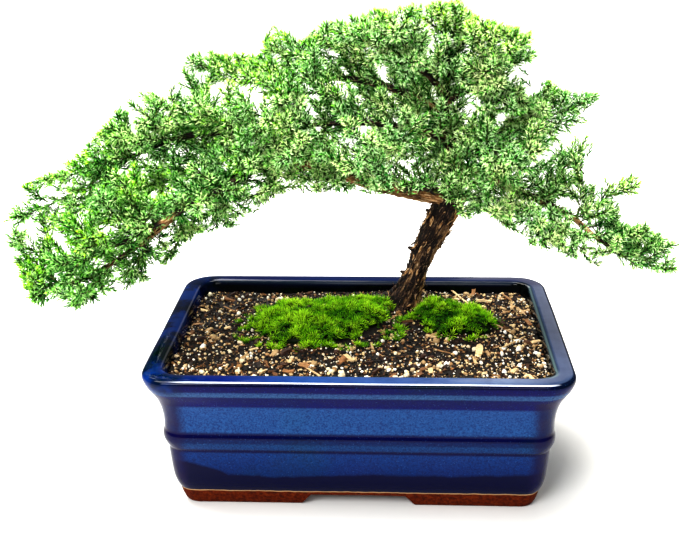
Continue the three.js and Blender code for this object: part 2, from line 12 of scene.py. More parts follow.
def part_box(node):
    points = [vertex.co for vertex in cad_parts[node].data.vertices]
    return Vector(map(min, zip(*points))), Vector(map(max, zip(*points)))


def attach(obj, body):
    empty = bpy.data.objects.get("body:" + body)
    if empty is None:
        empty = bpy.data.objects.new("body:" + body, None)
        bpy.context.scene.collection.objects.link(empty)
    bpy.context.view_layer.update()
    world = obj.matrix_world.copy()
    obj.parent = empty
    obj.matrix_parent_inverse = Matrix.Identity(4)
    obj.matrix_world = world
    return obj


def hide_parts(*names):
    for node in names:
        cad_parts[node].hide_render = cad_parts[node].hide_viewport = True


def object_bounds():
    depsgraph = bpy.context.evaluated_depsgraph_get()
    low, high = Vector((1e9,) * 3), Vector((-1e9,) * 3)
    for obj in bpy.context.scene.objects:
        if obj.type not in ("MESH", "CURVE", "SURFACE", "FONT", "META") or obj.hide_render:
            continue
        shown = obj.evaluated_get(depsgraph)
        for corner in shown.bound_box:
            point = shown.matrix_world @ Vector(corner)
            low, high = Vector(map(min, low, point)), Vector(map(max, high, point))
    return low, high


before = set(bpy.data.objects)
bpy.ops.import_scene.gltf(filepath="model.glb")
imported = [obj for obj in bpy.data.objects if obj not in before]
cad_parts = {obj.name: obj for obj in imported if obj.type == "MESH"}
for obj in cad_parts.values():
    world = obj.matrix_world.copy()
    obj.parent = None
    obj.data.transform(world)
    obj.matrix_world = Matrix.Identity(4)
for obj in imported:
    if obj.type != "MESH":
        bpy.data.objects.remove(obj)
cadLow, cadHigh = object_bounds()

mm = 0.001
potLow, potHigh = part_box("pot")
potMiddle = Vector(((potLow.x + potHigh.x) / 2, (potLow.y + potHigh.y) / 2, potLow.z))
print("frame loaded,", len(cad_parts), "nodes")


# A place given in mm from the middle of the pot's foot.
def fromPot(x, y, z):
    return potMiddle + Vector((x, y, z)) * mm


# Colours are picked as sRGB hex values.
def colour(hexText):
    channels = [int(hexText[i:i + 2], 16) / 255 for i in (1, 3, 5)]
    linear = [c / 12.92 if c <= 0.04045 else ((c + 0.055) / 1.055) ** 2.4 for c in channels]
    return (*linear, 1)


# How many times a pattern of this size in mm fits in a metre.
def perMetre(size):
    return 1 / (size * mm)


# Adds a shader node: plain settings, then inputs that are values or sockets, then the stops of a ramp.
def addNode(material, kind, inputs=None, stops=None, **settings):
    node = material.node_tree.nodes.new(kind)
    for name, value in settings.items():
        setattr(node, name, value)
    for name, value in (inputs or {}).items():
        if isinstance(value, bpy.types.NodeSocket):
            material.node_tree.links.new(value, node.inputs[name])
        else:
            node.inputs[name].default_value = value
    if stops:
        elements = node.color_ramp.elements
        elements[0].position, elements[0].color = stops[0][0], colour(stops[0][1])
        elements[1].position, elements[1].color = stops[-1][0], colour(stops[-1][1])
        for place, hexText in stops[1:-1]:
            elements.new(place).color = colour(hexText)
    return node


def newMaterial(name):
    material = bpy.data.materials.new(name)
    material.use_nodes = True
    material.node_tree.nodes.clear()
    return material


# The nodes that the materials share. Each function gives back the node's output.
def placeOf(material):
    return addNode(material, "ShaderNodeTexCoord").outputs["Object"]


def attributeOf(material, name):
    return addNode(material, "ShaderNodeAttribute", attribute_name=name).outputs["Fac"]


def noiseOf(material, place, size, detail=2, roughness=0.5):
    return addNode(material, "ShaderNodeTexNoise", {
        "Vector": place, "Scale": perMetre(size), "Detail": detail, "Roughness": roughness,
    }).outputs["Fac"]


def rampOf(material, value, stops):
    return addNode(material, "ShaderNodeValToRGB", {0: value}, stops=stops).outputs[0]


def remap(material, value, low, high, fromZero=0, toOne=1):
    return addNode(material, "ShaderNodeMapRange", {
        0: value, 1: low, 2: high, 3: fromZero, 4: toOne,
    }).outputs[0]


def maths(material, operation, *values, **settings):
    values = dict(enumerate(values))
    return addNode(material, "ShaderNodeMath", values, operation=operation, **settings).outputs[0]


def blend(material, share, base, over, mode="MIX"):
    return addNode(material, "ShaderNodeMix", {0: share, 6: base, 7: over},
                   data_type="RGBA", blend_type=mode).outputs[2]


# Ends a material with its shader, given the shader's settings.
def finished(material, settings):
    shader = addNode(material, "ShaderNodeBsdfPrincipled", settings)
    addNode(material, "ShaderNodeOutputMaterial", {"Surface": shader.outputs[0]})
    return material


def deselectAll():
    if bpy.context.object and bpy.context.object.mode != "OBJECT":
        bpy.ops.object.mode_set(mode="OBJECT")
    bpy.ops.object.select_all(action="DESELECT")


# Makes one object the active and only selected one.
def pick(piece):
    deselectAll()
    piece.select_set(True)
    bpy.context.view_layer.objects.active = piece


# Applies an object's place, turn and scale to its mesh, and names it.
def settle(piece, name):
    pick(piece)
    bpy.ops.object.transform_apply(location=True, rotation=True, scale=True)
    piece.name = name
    piece.data.name = name
    return piece


def applyModifier(piece, kind, **settings):
    pick(piece)
    modifier = piece.modifiers.new(kind.lower(), kind)
    for name, value in settings.items():
        setattr(modifier, name, value)
    bpy.ops.object.modifier_apply(modifier=modifier.name)


# Turns a small modelled shape into arrays, so that hundreds of copies can be joined at once.
def takeShape(piece):
    mesh = piece.data
    mesh.calc_loop_triangles()
    points = np.empty(len(mesh.vertices) * 3)
    mesh.vertices.foreach_get("co", points)
    corners = np.empty(len(mesh.loop_triangles) * 3, dtype=np.int32)
    mesh.loop_triangles.foreach_get("vertices", corners)
    bpy.data.objects.remove(piece)
    return {"points": points.reshape(-1, 3), "faces": corners.reshape(-1, 3)}


def joinShapes(shapes):
    offsets = np.cumsum([0] + [len(shape["points"]) for shape in shapes[:-1]])
    joined = {"faces": np.concatenate([shape["faces"] + start for shape, start in zip(shapes, offsets)])}
    joined["slot"] = np.concatenate([
        shape.get("slot", np.zeros(len(shape["faces"]), dtype=np.int32)) for shape in shapes
    ])
    joined["points"] = np.concatenate([shape["points"] for shape in shapes])
    for name in sorted({name for shape in shapes for name in shape} - {"points", "faces", "slot"}):
        joined[name] = np.concatenate([
            shape.get(name, np.zeros(len(shape["points"]))) for shape in shapes
        ])
    return joined


# Copies of a shape, one for each matrix. The values are one number for each copy.
def copyShape(shape, matrices, **values):
    matrices = np.array(matrices)
    count = len(matrices)
    size = len(shape["points"])
    points = np.einsum("kij,nj->kni", matrices[:, :3, :3], shape["points"]) + matrices[:, None, :3, 3]
    faces = shape["faces"][None] + (np.arange(count) * size)[:, None, None]
    copied = {"points": points.reshape(-1, 3), "faces": faces.reshape(-1, 3)}
    for name in set(shape) - {"points", "faces"}:
        copied[name] = np.tile(shape[name], count)
    for name, numbers in values.items():
        copied[name] = np.repeat(np.array(numbers, dtype=float), size)
    return copied


# A finished piece from joined shapes, with its attributes and materials.
def makePiece(name, shape, materials, smooth=False):
    mesh = bpy.data.meshes.new(name)
    count = len(shape["faces"])
    mesh.vertices.add(len(shape["points"]))
    mesh.vertices.foreach_set("co", shape["points"].astype(np.float32).ravel())
    mesh.loops.add(count * 3)
    mesh.loops.foreach_set("vertex_index", shape["faces"].astype(np.int32).ravel())
    mesh.polygons.add(count)
    mesh.polygons.foreach_set("loop_start", np.arange(0, count * 3, 3, dtype=np.int32))
    if "slot" in shape:
        mesh.polygons.foreach_set("material_index", shape["slot"].astype(np.int32))
    mesh.polygons.foreach_set("use_smooth", np.full(count, smooth))
    mesh.update(calc_edges=True)
    for attribute in sorted(set(shape) - {"points", "faces", "slot"}):
        layer = mesh.attributes.new(attribute, "FLOAT", "POINT")
        layer.data.foreach_set("value", shape[attribute].astype(np.float32))
    for material in materials:
        mesh.materials.append(material)
    piece = bpy.data.objects.new(name, mesh)
    bpy.context.collection.objects.link(piece)
    return piece


# A matrix whose z axis points along a direction, spun about it, with a scale along each axis.
def aim(place, direction, spin=0.0, scale=(1, 1, 1)):
    turn = Vector(direction).to_track_quat("Z", "Y").to_matrix() @ Matrix.Rotation(spin, 3, "Z")
    matrix = (turn @ Matrix.Diagonal(scale)).to_4x4()
    matrix.translation = place
    return matrix


leafTurn = 2.4  # radians from one leaf or twig to the next round its stem


def smoothStep(low, high, value):
    share = min(1, max(0, (value - low) / (high - low)))
    return share * share * (3 - 2 * share)


# The camera stands where the photo was taken from, worked out from the pot's rim, belt and foot.
cameraView = {
    "place": (16.6, -476.4, 281.7),  # mm from the pot's middle
    "yaw": -3.21,
    "pitch": 20.61,
    "roll": -0.87,
    "focalPixels": 1037,
    "imageWidth": 679,
    "sensor": 36,
}


def buildCamera():
    yaw, pitch, roll = (math.radians(cameraView[key]) for key in ("yaw", "pitch", "roll"))
    ahead = Vector((math.sin(yaw) * math.cos(pitch), math.cos(yaw) * math.cos(pitch), -math.sin(pitch)))
    level = Vector((math.cos(yaw), -math.sin(yaw), 0))
    upright = level.cross(ahead)
    right = math.cos(roll) * level + math.sin(roll) * upright
    up = -math.sin(roll) * level + math.cos(roll) * upright
    bpy.ops.object.camera_add(location=fromPot(*cameraView["place"]))
    camera = bpy.context.object
    camera.name = "camera"
    camera.matrix_world = Matrix((
        (right.x, up.x, -ahead.x, camera.location.x),
        (right.y, up.y, -ahead.y, camera.location.y),
        (right.z, up.z, -ahead.z, camera.location.z),
        (0, 0, 0, 1),
    ))
    camera.data.sensor_width = cameraView["sensor"]
    camera.data.lens = cameraView["focalPixels"] / cameraView["imageWidth"] * cameraView["sensor"]
    camera.data.clip_start = 0.01
    bpy.context.scene.camera = camera


studio = {
    "floorSize": 24,
    "floorColour": "#dcdcda",
    "worldColour": "#f8fafc",
    "worldStrength": 0.27,
    # name, place in m, size in m, power in W, colour
    "lamps": [
        ("topSoftbox", (-0.25, 0.2, 1.5), 1.2, 50, "#fffaf2"),
        ("frontSoftbox", (-0.7, -1.3, 1.3), 0.8, 27, "#ffffff"),
        ("backSoftbox", (0.72, 2.4, 1.16), 1.0, 3, "#fff8f4"),
        ("farSoftbox", (-1.3, 2.6, 2.4), 1.6, 64, "#ffffff"),
        ("nearFloorSoftbox", (0.6, -4.2, 2.4), 2.0, 48, "#ffffff"),
    ],
}


def buildStudio():
    bpy.ops.mesh.primitive_plane_add(size=studio["floorSize"], location=(0, 0, potLow.z))
    floor = bpy.context.object
    floor.name = "floor"
    material = newMaterial("palePaintedFloor")
    finished(material, {
        "Base Color": colour(studio["floorColour"]), "Roughness": 0.7,
    })
    floor.data.materials.append(material)
    bpy.context.scene.view_settings.view_transform = "Standard"
    bpy.context.scene.view_settings.look = "High Contrast"
    world = bpy.data.worlds.new("studioAir")
    bpy.context.scene.world = world
    world.use_nodes = True
    background = world.node_tree.nodes["Background"]
    background.inputs["Color"].default_value = colour(studio["worldColour"])
    background.inputs["Strength"].default_value = studio["worldStrength"]
    for name, place, size, power, hexText in studio["lamps"]:
        bpy.ops.object.light_add(type="AREA", location=place)
        lamp = bpy.context.object
        lamp.name = name
        lamp.data.size = size
        lamp.data.energy = power
        lamp.data.color = colour(hexText)[:3]
        towards = Vector((0, 0, 0.1)) - lamp.location
        lamp.rotation_euler = towards.to_track_quat("-Z", "Y").to_euler()


# The pot: a slab's outline is drawn up ring by ring, over the rim and down inside to the floor.
potShape = {
    "cornerSegments": 6,
    "slimmer": (2.5, 0.4),  # mm less on each side than the solid, as measured in the photo
    "cornerRadius": (14.5, 0.55, 7),  # at the rim, less for each mm inside it, and the least
    "sideCuts": (13, 8),  # cuts along the long and the short sides
    # how far inside the rim's outer edge the wall lies, and its height, in mm
    "wall": [
        (15.4, 0), (15, 0.5), (13.7, 4), (12.9, 7.8), (12.6, 8.7), (12, 9.8), (11.3, 11.6), (10.6, 14),
        (10.2, 16.6), (9.8, 21), (9.4, 27), (9.2, 30.6), (9.3, 31.8), (8.7, 32.6), (8.2, 33.8), (7.4, 35.8),
        (7.1, 37.4), (7.1, 39.3), (7.5, 40.4), (7.9, 41.2), (7.8, 42.6), (8, 45), (7.7, 48.8), (7, 52.8),
        (6, 56.2), (4.7, 59.2), (2.8, 62.3), (1.4, 64.8), (0.5, 67), (0, 69), (0, 69.9), (0.3, 70.9),
        (0.8, 71.3), (1.9, 72), (4.5, 72), (7.6, 71.9), (8.8, 71.5), (9.4, 70.7), (10, 68), (12.4, 60),
        (16, 42), (19, 20), (20, 14),
    ],
    "rippleSize": 34,  # mm across, the unevenness of a pressed and glazed wall
    "rippleDepth": 0.25,
    "footWall": 13,
    "recessTop": 6.5,
    "frontNotch": (58, 45),  # mm wide at the ground and at its top
    "sideNotch": (34, 22),
    "notchHeight": 6.5,
    "drainRadius": 6.5,
    "drainOffset": 44,
    "floorTop": 14,
}
# Where each colour of the glaze begins and ends up the wall, in mm: the panels are pale, and the glaze that
# ran off the edges and pooled under them is dark. The pale bands on the undersides of the belt and of the
# rim are painted reflections of the floor, and the dark bands in the groove under the belt and in the cove
# under the rim are painted shade.
glazeShadeAndReflectionBands = [
    (20, "#00285a"), (30.6, "#05376b"), (31.4, "#000430"), (32.6, "#000430"), (33.4, "#143e6b"),
    (36.2, "#144169"), (37.2, "#04264d"), (38.7, "#03214b"), (39.4, "#00022a"), (41.5, "#010334"),
    (42.8, "#245281"), (56, "#265384"), (57.2, "#000754"), (63.2, "#000549"), (64, "#395d81"),
    (66.2, "#2f527a"), (66.9, "#000049"), (69.4, "#000048"), (70.2, "#00010a"), (71.1, "#000107"),
    (71.4, "#00010a"),
]
glazeSpan = 78  # mm up the wall that the bands are spread over
# Where the glaze changes, in mm: from the first figure, where the change begins, to the second.
glazePlaces = {
    "footGlaze": (15.8, 17.2),  # upwards
    "lowerAtLeft": (-46, -66),  # along the front
    "rimLength": (-87, 116),
    "rimBack": (38, 44),  # towards the back
    "rimTop": (71.6, 71.8),
    # where the painted highlight along the rim's front edge lies
    "lineFoot": (71.3, 71.4),
    "lineTop": (71.75, 71.65),
    "lineFront": (-75, -76.5),
    "leftRim": (-62, -70),
    "leftRimFoot": (62, 68),
    "bareClay": (8.6, 9.1),
    "glazeEnd": (9.2, 9.6),
}


# Fired stoneware under a running cobalt glaze: deep navy where it pooled or thinned over an edge, steel
# blue and mottled in the panels, bare red-brown clay below the glaze line. Its colour also carries painted
# reflections, painted shade and a painted highlight on the wall and the rim.
def glazeMaterial():
    material = newMaterial("cobaltGlazeOnStoneware")
    place = placeOf(material)
    separate = addNode(material, "ShaderNodeSeparateXYZ", {0: place})
    sideways, deep, height = (separate.outputs[axis] for axis in "XYZ")

    def noiseAt(size, detail=2, roughness=0.5):
        return noiseOf(material, place, size, detail, roughness)

    def between(value, name, fromZero=0, toOne=1):
        begins, ends = glazePlaces[name]
        return remap(material, value, begins * mm, ends * mm, fromZero, toOne)

    # the colour up the wall, with its painted reflections and painted shade
    level = maths(material, "MULTIPLY", height, 1 / (glazeSpan * mm))
    stops = [(z / glazeSpan, hexText) for z, hexText in glazeShadeAndReflectionBands]
    glaze = rampOf(material, level, stops)
    # crystals under a millimetre across in the panels, and paler flecks where the glaze is thick
    glaze = blend(material, 0.85, glaze, rampOf(material, noiseAt(0.8, 3, 0.7), [
        (0.36, "#6d7a9c"), (0.5, "#c9cfda"), (0.66, "#ffffff"),
    ]), "MULTIPLY")
    fleck = remap(material, noiseAt(0.55, 1), 0.68, 0.76, 0, 0.35)
    glaze = blend(material, fleck, glaze, colour("#4a78a8"))
    tint = rampOf(material, noiseAt(48), [
        (0.36, "#083c58"), (0.5, "#0c206c"), (0.66, "#20206e"),
    ])
    glaze = blend(material, 0.14, glaze, tint)
    # the deep cobalt along the foot has an uneven upper edge
    run = maths(material, "MULTIPLY_ADD", noiseAt(9, 4, 0.65), 0.003, height)
    slow = maths(material, "MULTIPLY_ADD", noiseAt(70, 1), -0.008, run)
    slow = maths(material, "ADD", slow, between(sideways, "lowerAtLeft", 0, -7 * mm))
    glaze = blend(material, between(slow, "footGlaze"), colour("#01042c"), glaze)
    # dark violet at the four corners, where the glaze ran thin
    corner = attributeOf(material, "corner")
    ragged = maths(material, "MULTIPLY_ADD", noiseAt(7, 4, 0.7), 0.6, corner)
    violet = blend(material, remap(material, noiseAt(8, 2), 0.3, 0.7), colour("#08083a"), colour("#1c1034"))
    glaze = blend(material, remap(material, ragged, 0.45, 1.15, 0, 0.85), glaze, violet)
    # the rim's top turns from cobalt on the left to slate on the right: cobalt glaze under a painted
    # reflection that is pale on the right
    top = rampOf(material, between(sideways, "rimLength"), [
        (0.08, "#051e4c"), (0.2, "#04185c"), (0.4, "#26457c"), (0.6, "#364c78"), (0.82, "#54617c"),
        (0.94, "#38445e"),
    ])
    atBack = between(deep, "rimBack", 0, 0.85)
    top = blend(material, atBack, top, colour("#050f3a"))
    top = blend(material, remap(material, noiseAt(7, 4, 0.6), 0.4, 0.7, 0, 0.3), top, colour("#081a3c"))
    glaze = blend(material, between(height, "rimTop"), glaze, top)
    # a thin pale line along the front edge: a painted highlight
    paintedHighlight = maths(material, "MULTIPLY", between(height, "lineFoot"), between(height, "lineTop"))
    paintedHighlight = maths(material, "MULTIPLY", paintedHighlight, between(deep, "lineFront"))
    glaze = blend(material, paintedHighlight, glaze, colour("#b8c0d0"))
    # the rim's inner edge shows the pale body through the glaze
    edge = attributeOf(material, "edge")
    glaze = blend(material, edge, glaze, blend(material, atBack, colour("#4e6064"), colour("#101a34")))
    # painted shade: the pot's inner wall above the soil is painted near-black
    inside = attributeOf(material, "inside")
    glaze = blend(material, inside, glaze, colour("#05090c"))
    # along the left rim the glaze is streaked a dark teal, darkened further by a painted dark reflection
    west = maths(material, "MULTIPLY", between(sideways, "leftRim"), between(height, "leftRimFoot"))
    streaksAndDarkReflection = rampOf(material, noiseAt(18, 3, 0.6), [
        (0.38, "#020e14"), (0.5, "#03163a"), (0.62, "#072a66"),
    ])
    glaze = blend(material, west, glaze, streaksAndDarkReflection)
    # the bare clay of the feet, with iron spots and a pale line where the glaze ends
    iron = noiseAt(1.6, 5, 0.65)
    clay = rampOf(material, iron, [
        (0.3, "#280a02"), (0.5, "#541b03"), (0.72, "#6c2e08"),
    ])
    end = maths(material, "MULTIPLY_ADD", noiseAt(5, 3), 0.0012, height)
    glazed = between(end, "glazeEnd")
    clay = blend(material, between(end, "bareClay"), clay, colour("#b09068"))
    skin = blend(material, glazed, clay, glaze)
    gloss = remap(material, glazed, 0, 1, 0.8, 0.07)
    grit = remap(material, glazed, 0, 1, 0.35, 0.03)
    bump = addNode(material, "ShaderNodeBump", {"Strength": grit, "Distance": 0.0004, "Height": iron})
    return finished(material, {
        "Base Color": skin, "Roughness": gloss, "Normal": bump.outputs[0], "IOR": 1.5,
        "Specular IOR Level": 0.15,
    })


# A bar with a trapezoid section, to cut a notch between two feet.
def notchCutter(bottom, top, turned):
    bpy.ops.mesh.primitive_cube_add(size=1, location=fromPot(0, 0, potShape["notchHeight"] / 2 - 1))
    cutter = bpy.context.object
    length = 300
    cutter.scale = Vector((bottom, length, potShape["notchHeight"] + 2)) * mm
    if turned:
        cutter.rotation_euler.z = math.pi / 2
    bpy.ops.object.transform_apply(location=False, rotation=False, scale=True)
    bpy.ops.object.mode_set(mode="EDIT")
    edit = bmesh.from_edit_mesh(cutter.data)
    for vertex in edit.verts:
        vertex.select_set(vertex.co.z > 0)
    edit.select_flush_mode()
    bmesh.update_edit_mesh(cutter.data)
    axis = (1, top / bottom, 1) if turned else (top / bottom, 1, 1)
    bpy.ops.transform.resize(value=axis, center_override=cutter.location)
    bpy.ops.object.mode_set(mode="OBJECT")
    return cutter


def cutWith(piece, cutter):
    applyModifier(piece, "BOOLEAN", operation="DIFFERENCE", object=cutter, solver="EXACT")
    bpy.data.objects.remove(cutter)


def cornerRadiusAt(inset):
    rim, less, least = potShape["cornerRadius"]
    return max(least, rim - less * inset)


# Gives the picked ring's corners another radius, and spreads the sides to meet them.
def roundCorners(edit, halfX, halfY, oldX, oldY, radius):
    for vertex in edit.verts:
        if not vertex.select:
            continue
        x, y = (vertex.co.x - potMiddle.x) / mm, (vertex.co.y - potMiddle.y) / mm
        acrossX, acrossY = (abs(x) - halfX + oldX) / oldX, (abs(y) - halfY + oldY) / oldY
        if acrossX > 0.001 and acrossY > 0.001:
            turn = math.atan2(acrossY, acrossX)
            newX = halfX - radius + radius * math.cos(turn)
            newY = halfY - radius + radius * math.sin(turn)
        else:
            newX = abs(x) if acrossX > 0.001 else abs(x) * (halfX - radius) / (halfX - oldX)
            newY = abs(y) if acrossY > 0.001 else abs(y) * (halfY - radius) / (halfY - oldY)
        vertex.co.x = potMiddle.x + math.copysign(newX, x) * mm
        vertex.co.y = potMiddle.y + math.copysign(newY, y) * mm


def buildPot():
    halfX = (potHigh.x - potLow.x) / 2 / mm - potShape["slimmer"][0]
    halfY = (potHigh.y - potLow.y) / 2 / mm - potShape["slimmer"][1]
    inset, height = potShape["wall"][0]
    radius = cornerRadiusAt(inset)
    deselectAll()
    bpy.ops.mesh.primitive_plane_add(size=2, location=potMiddle)
    pot = bpy.context.object
    pot.scale = Vector((halfX - inset, halfY - inset, 1)) * mm
    settle(pot, "glazedPot")
    bpy.ops.object.mode_set(mode="EDIT")
    edit = bmesh.from_edit_mesh(pot.data)
    corners = [vertex.co.copy() for vertex in edit.verts]
    for alongX, cuts in ((True, potShape["sideCuts"][0]), (False, potShape["sideCuts"][1])):
        sides = [
            edge for edge in edit.edges
            if (abs(edge.verts[0].co.y - edge.verts[1].co.y) < mm) == alongX
        ]
        bmesh.ops.subdivide_edges(edit, edges=sides, cuts=cuts)
    for element in (*edit.faces, *edit.edges, *edit.verts):
        element.select_set(False)
    for vertex in edit.verts:
        if any((vertex.co - corner).length < 0.1 * mm for corner in corners):
            vertex.select_set(True)
    bmesh.update_edit_mesh(pot.data)
    bpy.ops.mesh.bevel(
        offset=radius * mm, affect="VERTICES", segments=potShape["cornerSegments"], profile=0.5)
    bpy.ops.mesh.select_all(action="SELECT")
    for nextInset, nextHeight in potShape["wall"][1:]:
        bpy.ops.mesh.extrude_region_move(
            TRANSFORM_OT_translate={"value": (0, 0, (nextHeight - height) * mm)})
        nextX, nextY = halfX - nextInset, halfY - nextInset
        stretchX, stretchY = nextX / (halfX - inset), nextY / (halfY - inset)
        bpy.ops.transform.resize(value=(stretchX, stretchY, 1), center_override=fromPot(0, 0, nextHeight))
        edit = bmesh.from_edit_mesh(pot.data)
        nextRadius = cornerRadiusAt(nextInset)
        roundCorners(edit, nextX, nextY, radius * stretchX, radius * stretchY, nextRadius)
        bmesh.update_edit_mesh(pot.data)
        inset, height, radius = nextInset, nextHeight, nextRadius
    bpy.ops.mesh.select_all(action="SELECT")
    bpy.ops.mesh.normals_make_consistent(inside=False)
    bpy.ops.object.mode_set(mode="OBJECT")
    applyModifier(pot, "SUBSURF", levels=1, render_levels=1)
    for vertex in pot.data.vertices:
        ripple = noise.noise(vertex.co / (potShape["rippleSize"] * mm))
        flat = Vector((vertex.co.x - potMiddle.x, vertex.co.y - potMiddle.y, 0)).normalized()
        if vertex.co.z > 2 * mm:
            vertex.co += flat * ripple * potShape["rippleDepth"] * mm
    # the hollow under the floor, the notches between the feet and the two drain holes
    recess = potShape["wall"][0][0] + potShape["footWall"]
    bpy.ops.mesh.primitive_cube_add(size=1, location=fromPot(0, 0, potShape["recessTop"] - 10))
    cutter = bpy.context.object
    cutter.scale = Vector((2 * (halfX - recess), 2 * (halfY - recess), 20)) * mm
    settle(cutter, "recessCutter")
    applyModifier(cutter, "BEVEL", width=5 * mm, segments=4, limit_method="ANGLE")
    cutWith(pot, cutter)
    cutWith(pot, notchCutter(*potShape["frontNotch"], False))
    cutWith(pot, notchCutter(*potShape["sideNotch"], True))
    for side in (-1, 1):
        bpy.ops.mesh.primitive_cylinder_add(
            vertices=40, radius=potShape["drainRadius"] * mm, depth=30 * mm,
            location=fromPot(side * potShape["drainOffset"], 0, potShape["floorTop"]))
        cutWith(pot, bpy.context.object)
    pick(pot)
    bpy.ops.object.shade_smooth_by_angle(angle=math.radians(38))
    corner = pot.data.attributes.new("corner", "FLOAT", "POINT")
    edge = pot.data.attributes.new("edge", "FLOAT", "POINT")
    inside = pot.data.attributes.new("inside", "FLOAT", "POINT")
    rim = potShape["cornerRadius"][0]
    for index, vertex in enumerate(pot.data.vertices):
        fromX = halfX - abs(vertex.co.x - potMiddle.x) / mm
        fromY = halfY - abs(vertex.co.y - potMiddle.y) / mm
        within = min(fromX, fromY)
        if fromX < rim and fromY < rim:
            within = rim - math.hypot(rim - fromX, rim - fromY)
        high = (vertex.co.z - potMiddle.z) / mm
        if high > 70:
            edge.data[index].value = smoothStep(8, 8.9, within) * smoothStep(9.8, 9.2, within)
        outwards = Vector((vertex.co.x - potMiddle.x, vertex.co.y - potMiddle.y, 0)).normalized()
        # the inner wall, which the glaze paints near-black as painted shade
        shadedInnerWall = vertex.normal.dot(outwards) < -0.15 or vertex.normal.z > 0.5 and high < 60
        inside.data[index].value = smoothStep(9.2, 9.8, within) if shadedInnerWall and high > 13 else 0
        near = smoothStep(23, 13, max(fromX, fromY))
        corner.data[index].value = near * smoothStep(64, 60, high)
    pot.data.materials.clear()
    pot.data.materials.append(glazeMaterial())
    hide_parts("pot")
    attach(pot, "root")
    print("pot built,", len(pot.data.polygons), "faces")


# The woody limbs: points along the middle in mm from the pot's middle, and the radius at both ends.
limbPaths = {
    "trunk": ([(19, 31, 38), (19, 31, 54), (21, 31, 68), (27, 29, 86), (33, 27, 103), (40, 25, 119),
               (46, 23, 134)], 6.4, 6.9),
    "leader": ([(46, 23, 131), (45, 24, 148), (43, 25, 164), (41, 26, 180), (43, 27, 194),
                (42, 28, 204)], 4.4, 1.2),
    "cascade": ([(46, 22, 130), (27, 18, 135), (12, 14, 139), (-9, 11, 146), (-30, 8, 152),
                 (-48, 6, 152), (-66, 5, 146), (-81, 4, 135), (-96, 3, 123), (-112, 1, 111),
                 (-132, -1, 98), (-146, -4, 93)], 4.2, 0.9),
    "midLeft": ([(-25, 9, 151), (-50, 17, 163), (-78, 21, 164), (-106, 22, 156), (-134, 20, 141)],
                2.1, 0.9),
    "backLeft": ([(-8, 12, 146), (-34, 32, 150), (-62, 46, 147), (-90, 53, 138), (-116, 54, 124)],
                 2.1, 0.9),
    "frontLeft": ([(-48, 6, 152), (-64, -10, 145), (-88, -20, 134), (-112, -26, 122)], 2, 0.9),
    "upperLeft": ([(42, 26, 172), (22, 29, 182), (-2, 33, 188), (-28, 38, 188), (-56, 44, 185)],
                  2.5, 0.9),
    "midUpper": ([(43, 25, 160), (24, 10, 169), (0, 0, 174), (-26, -6, 174)], 2.2, 0.9),
    "crownLeft": ([(41, 26, 182), (30, 22, 194), (16, 18, 202)], 1.8, 0.9),
    "crownRight": ([(42, 26, 178), (54, 22, 186), (66, 20, 192)], 1.8, 0.9),
    "crownBack": ([(43, 25, 166), (34, 42, 170), (20, 58, 170)], 2, 0.9),
    "rightUpper": ([(44, 25, 156), (60, 31, 160), (78, 37, 164), (92, 40, 168)], 2, 0.9),
    "rightMid": ([(46, 23, 150), (54, 10, 157), (62, -2, 162)], 1.9, 0.9),
    "rightArm": ([(45, 24, 144), (58, 18, 145), (71, 11, 140), (86, 5, 135), (101, 0, 128),
                  (112, -5, 120), (124, -8, 112)], 2.7, 0.9),
    "backArm": ([(45, 26, 148), (40, 46, 149), (28, 64, 145)], 2, 0.9),
    "frontArm": ([(38, 20, 134), (32, 4, 141), (22, -11, 145)], 2, 0.9),
}
woodShape = {
    "flareAt": 0.3,  # share along the trunk where it meets the soil
    "flareSpread": 0.13,
    "flare": 2.2,
    "waist": (0.54, 0.17, 1.5),  # where the trunk is slimmest, how far that reaches, and by how much in mm
    "rootHeadings": [(200, 26), (262, 22), (330, 24), (95, 20)],  # degrees, length in mm
    "rootRadius": (4.6, 1.4),
    # place along the trunk, heading and rise in degrees, how far it sticks out
    "stubs": [
        (0.48, 188, 25, 2.2), (0.63, 184, 25, 3), (0.7, 2, 22, 5), (0.84, 170, 30, 2), (0.42, 10, -5, 2.6),
    ],
    "stubRadius": (3, 0.6),
    "ringGap": 1.05,  # mm between rings on the trunk, less on thin limbs
    "furrowDepth": 0.2,  # as a share of the radius
    "flakes": 760,
    "flakeSize": (4.4, 1.2, 0.3),  # mm long, wide and thick
}


# A smooth run through points: many samples, each with its place, direction and share of the length.
def smoothRun(points, gap):
    padded = [2 * points[0] - points[1], *points, 2 * points[-1] - points[-2]]
    samples = []
    for i in range(1, len(padded) - 2):
        a, b, c, d = padded[i - 1:i + 3]
        steps = max(2, round((c - b).length / gap))
        for step in range(steps):
            t = step / steps
            samples.append(0.5 * (2 * b + (c - a) * t + (2 * a - 5 * b + 4 * c - d) * t * t
                                  + (3 * b - a - 3 * c + d) * t ** 3))
    samples.append(points[-1].copy())
    lengths = [0]
    for previous, current in zip(samples, samples[1:]):
        lengths.append(lengths[-1] + (current - previous).length)
    run = []
    for i, sample in enumerate(samples):
        ahead = samples[min(i + 1, len(samples) - 1)] - samples[max(i - 1, 0)]
        run.append((sample, ahead.normalized(), lengths[i] / lengths[-1], lengths[i]))
    return run


# The sample of a run that is nearest to a share of its length, or to a length along it.
def atShare(run, share):
    return min(run, key=lambda sample: abs(sample[2] - share))


def atLength(run, length):
    return min(run, key=lambda sample: abs(sample[3] - length))


# A radius that runs from one value in mm to another.
def tapered(radii):
    thick, thin = radii
    return lambda share: (thick + (thin - thick) * share) * mm


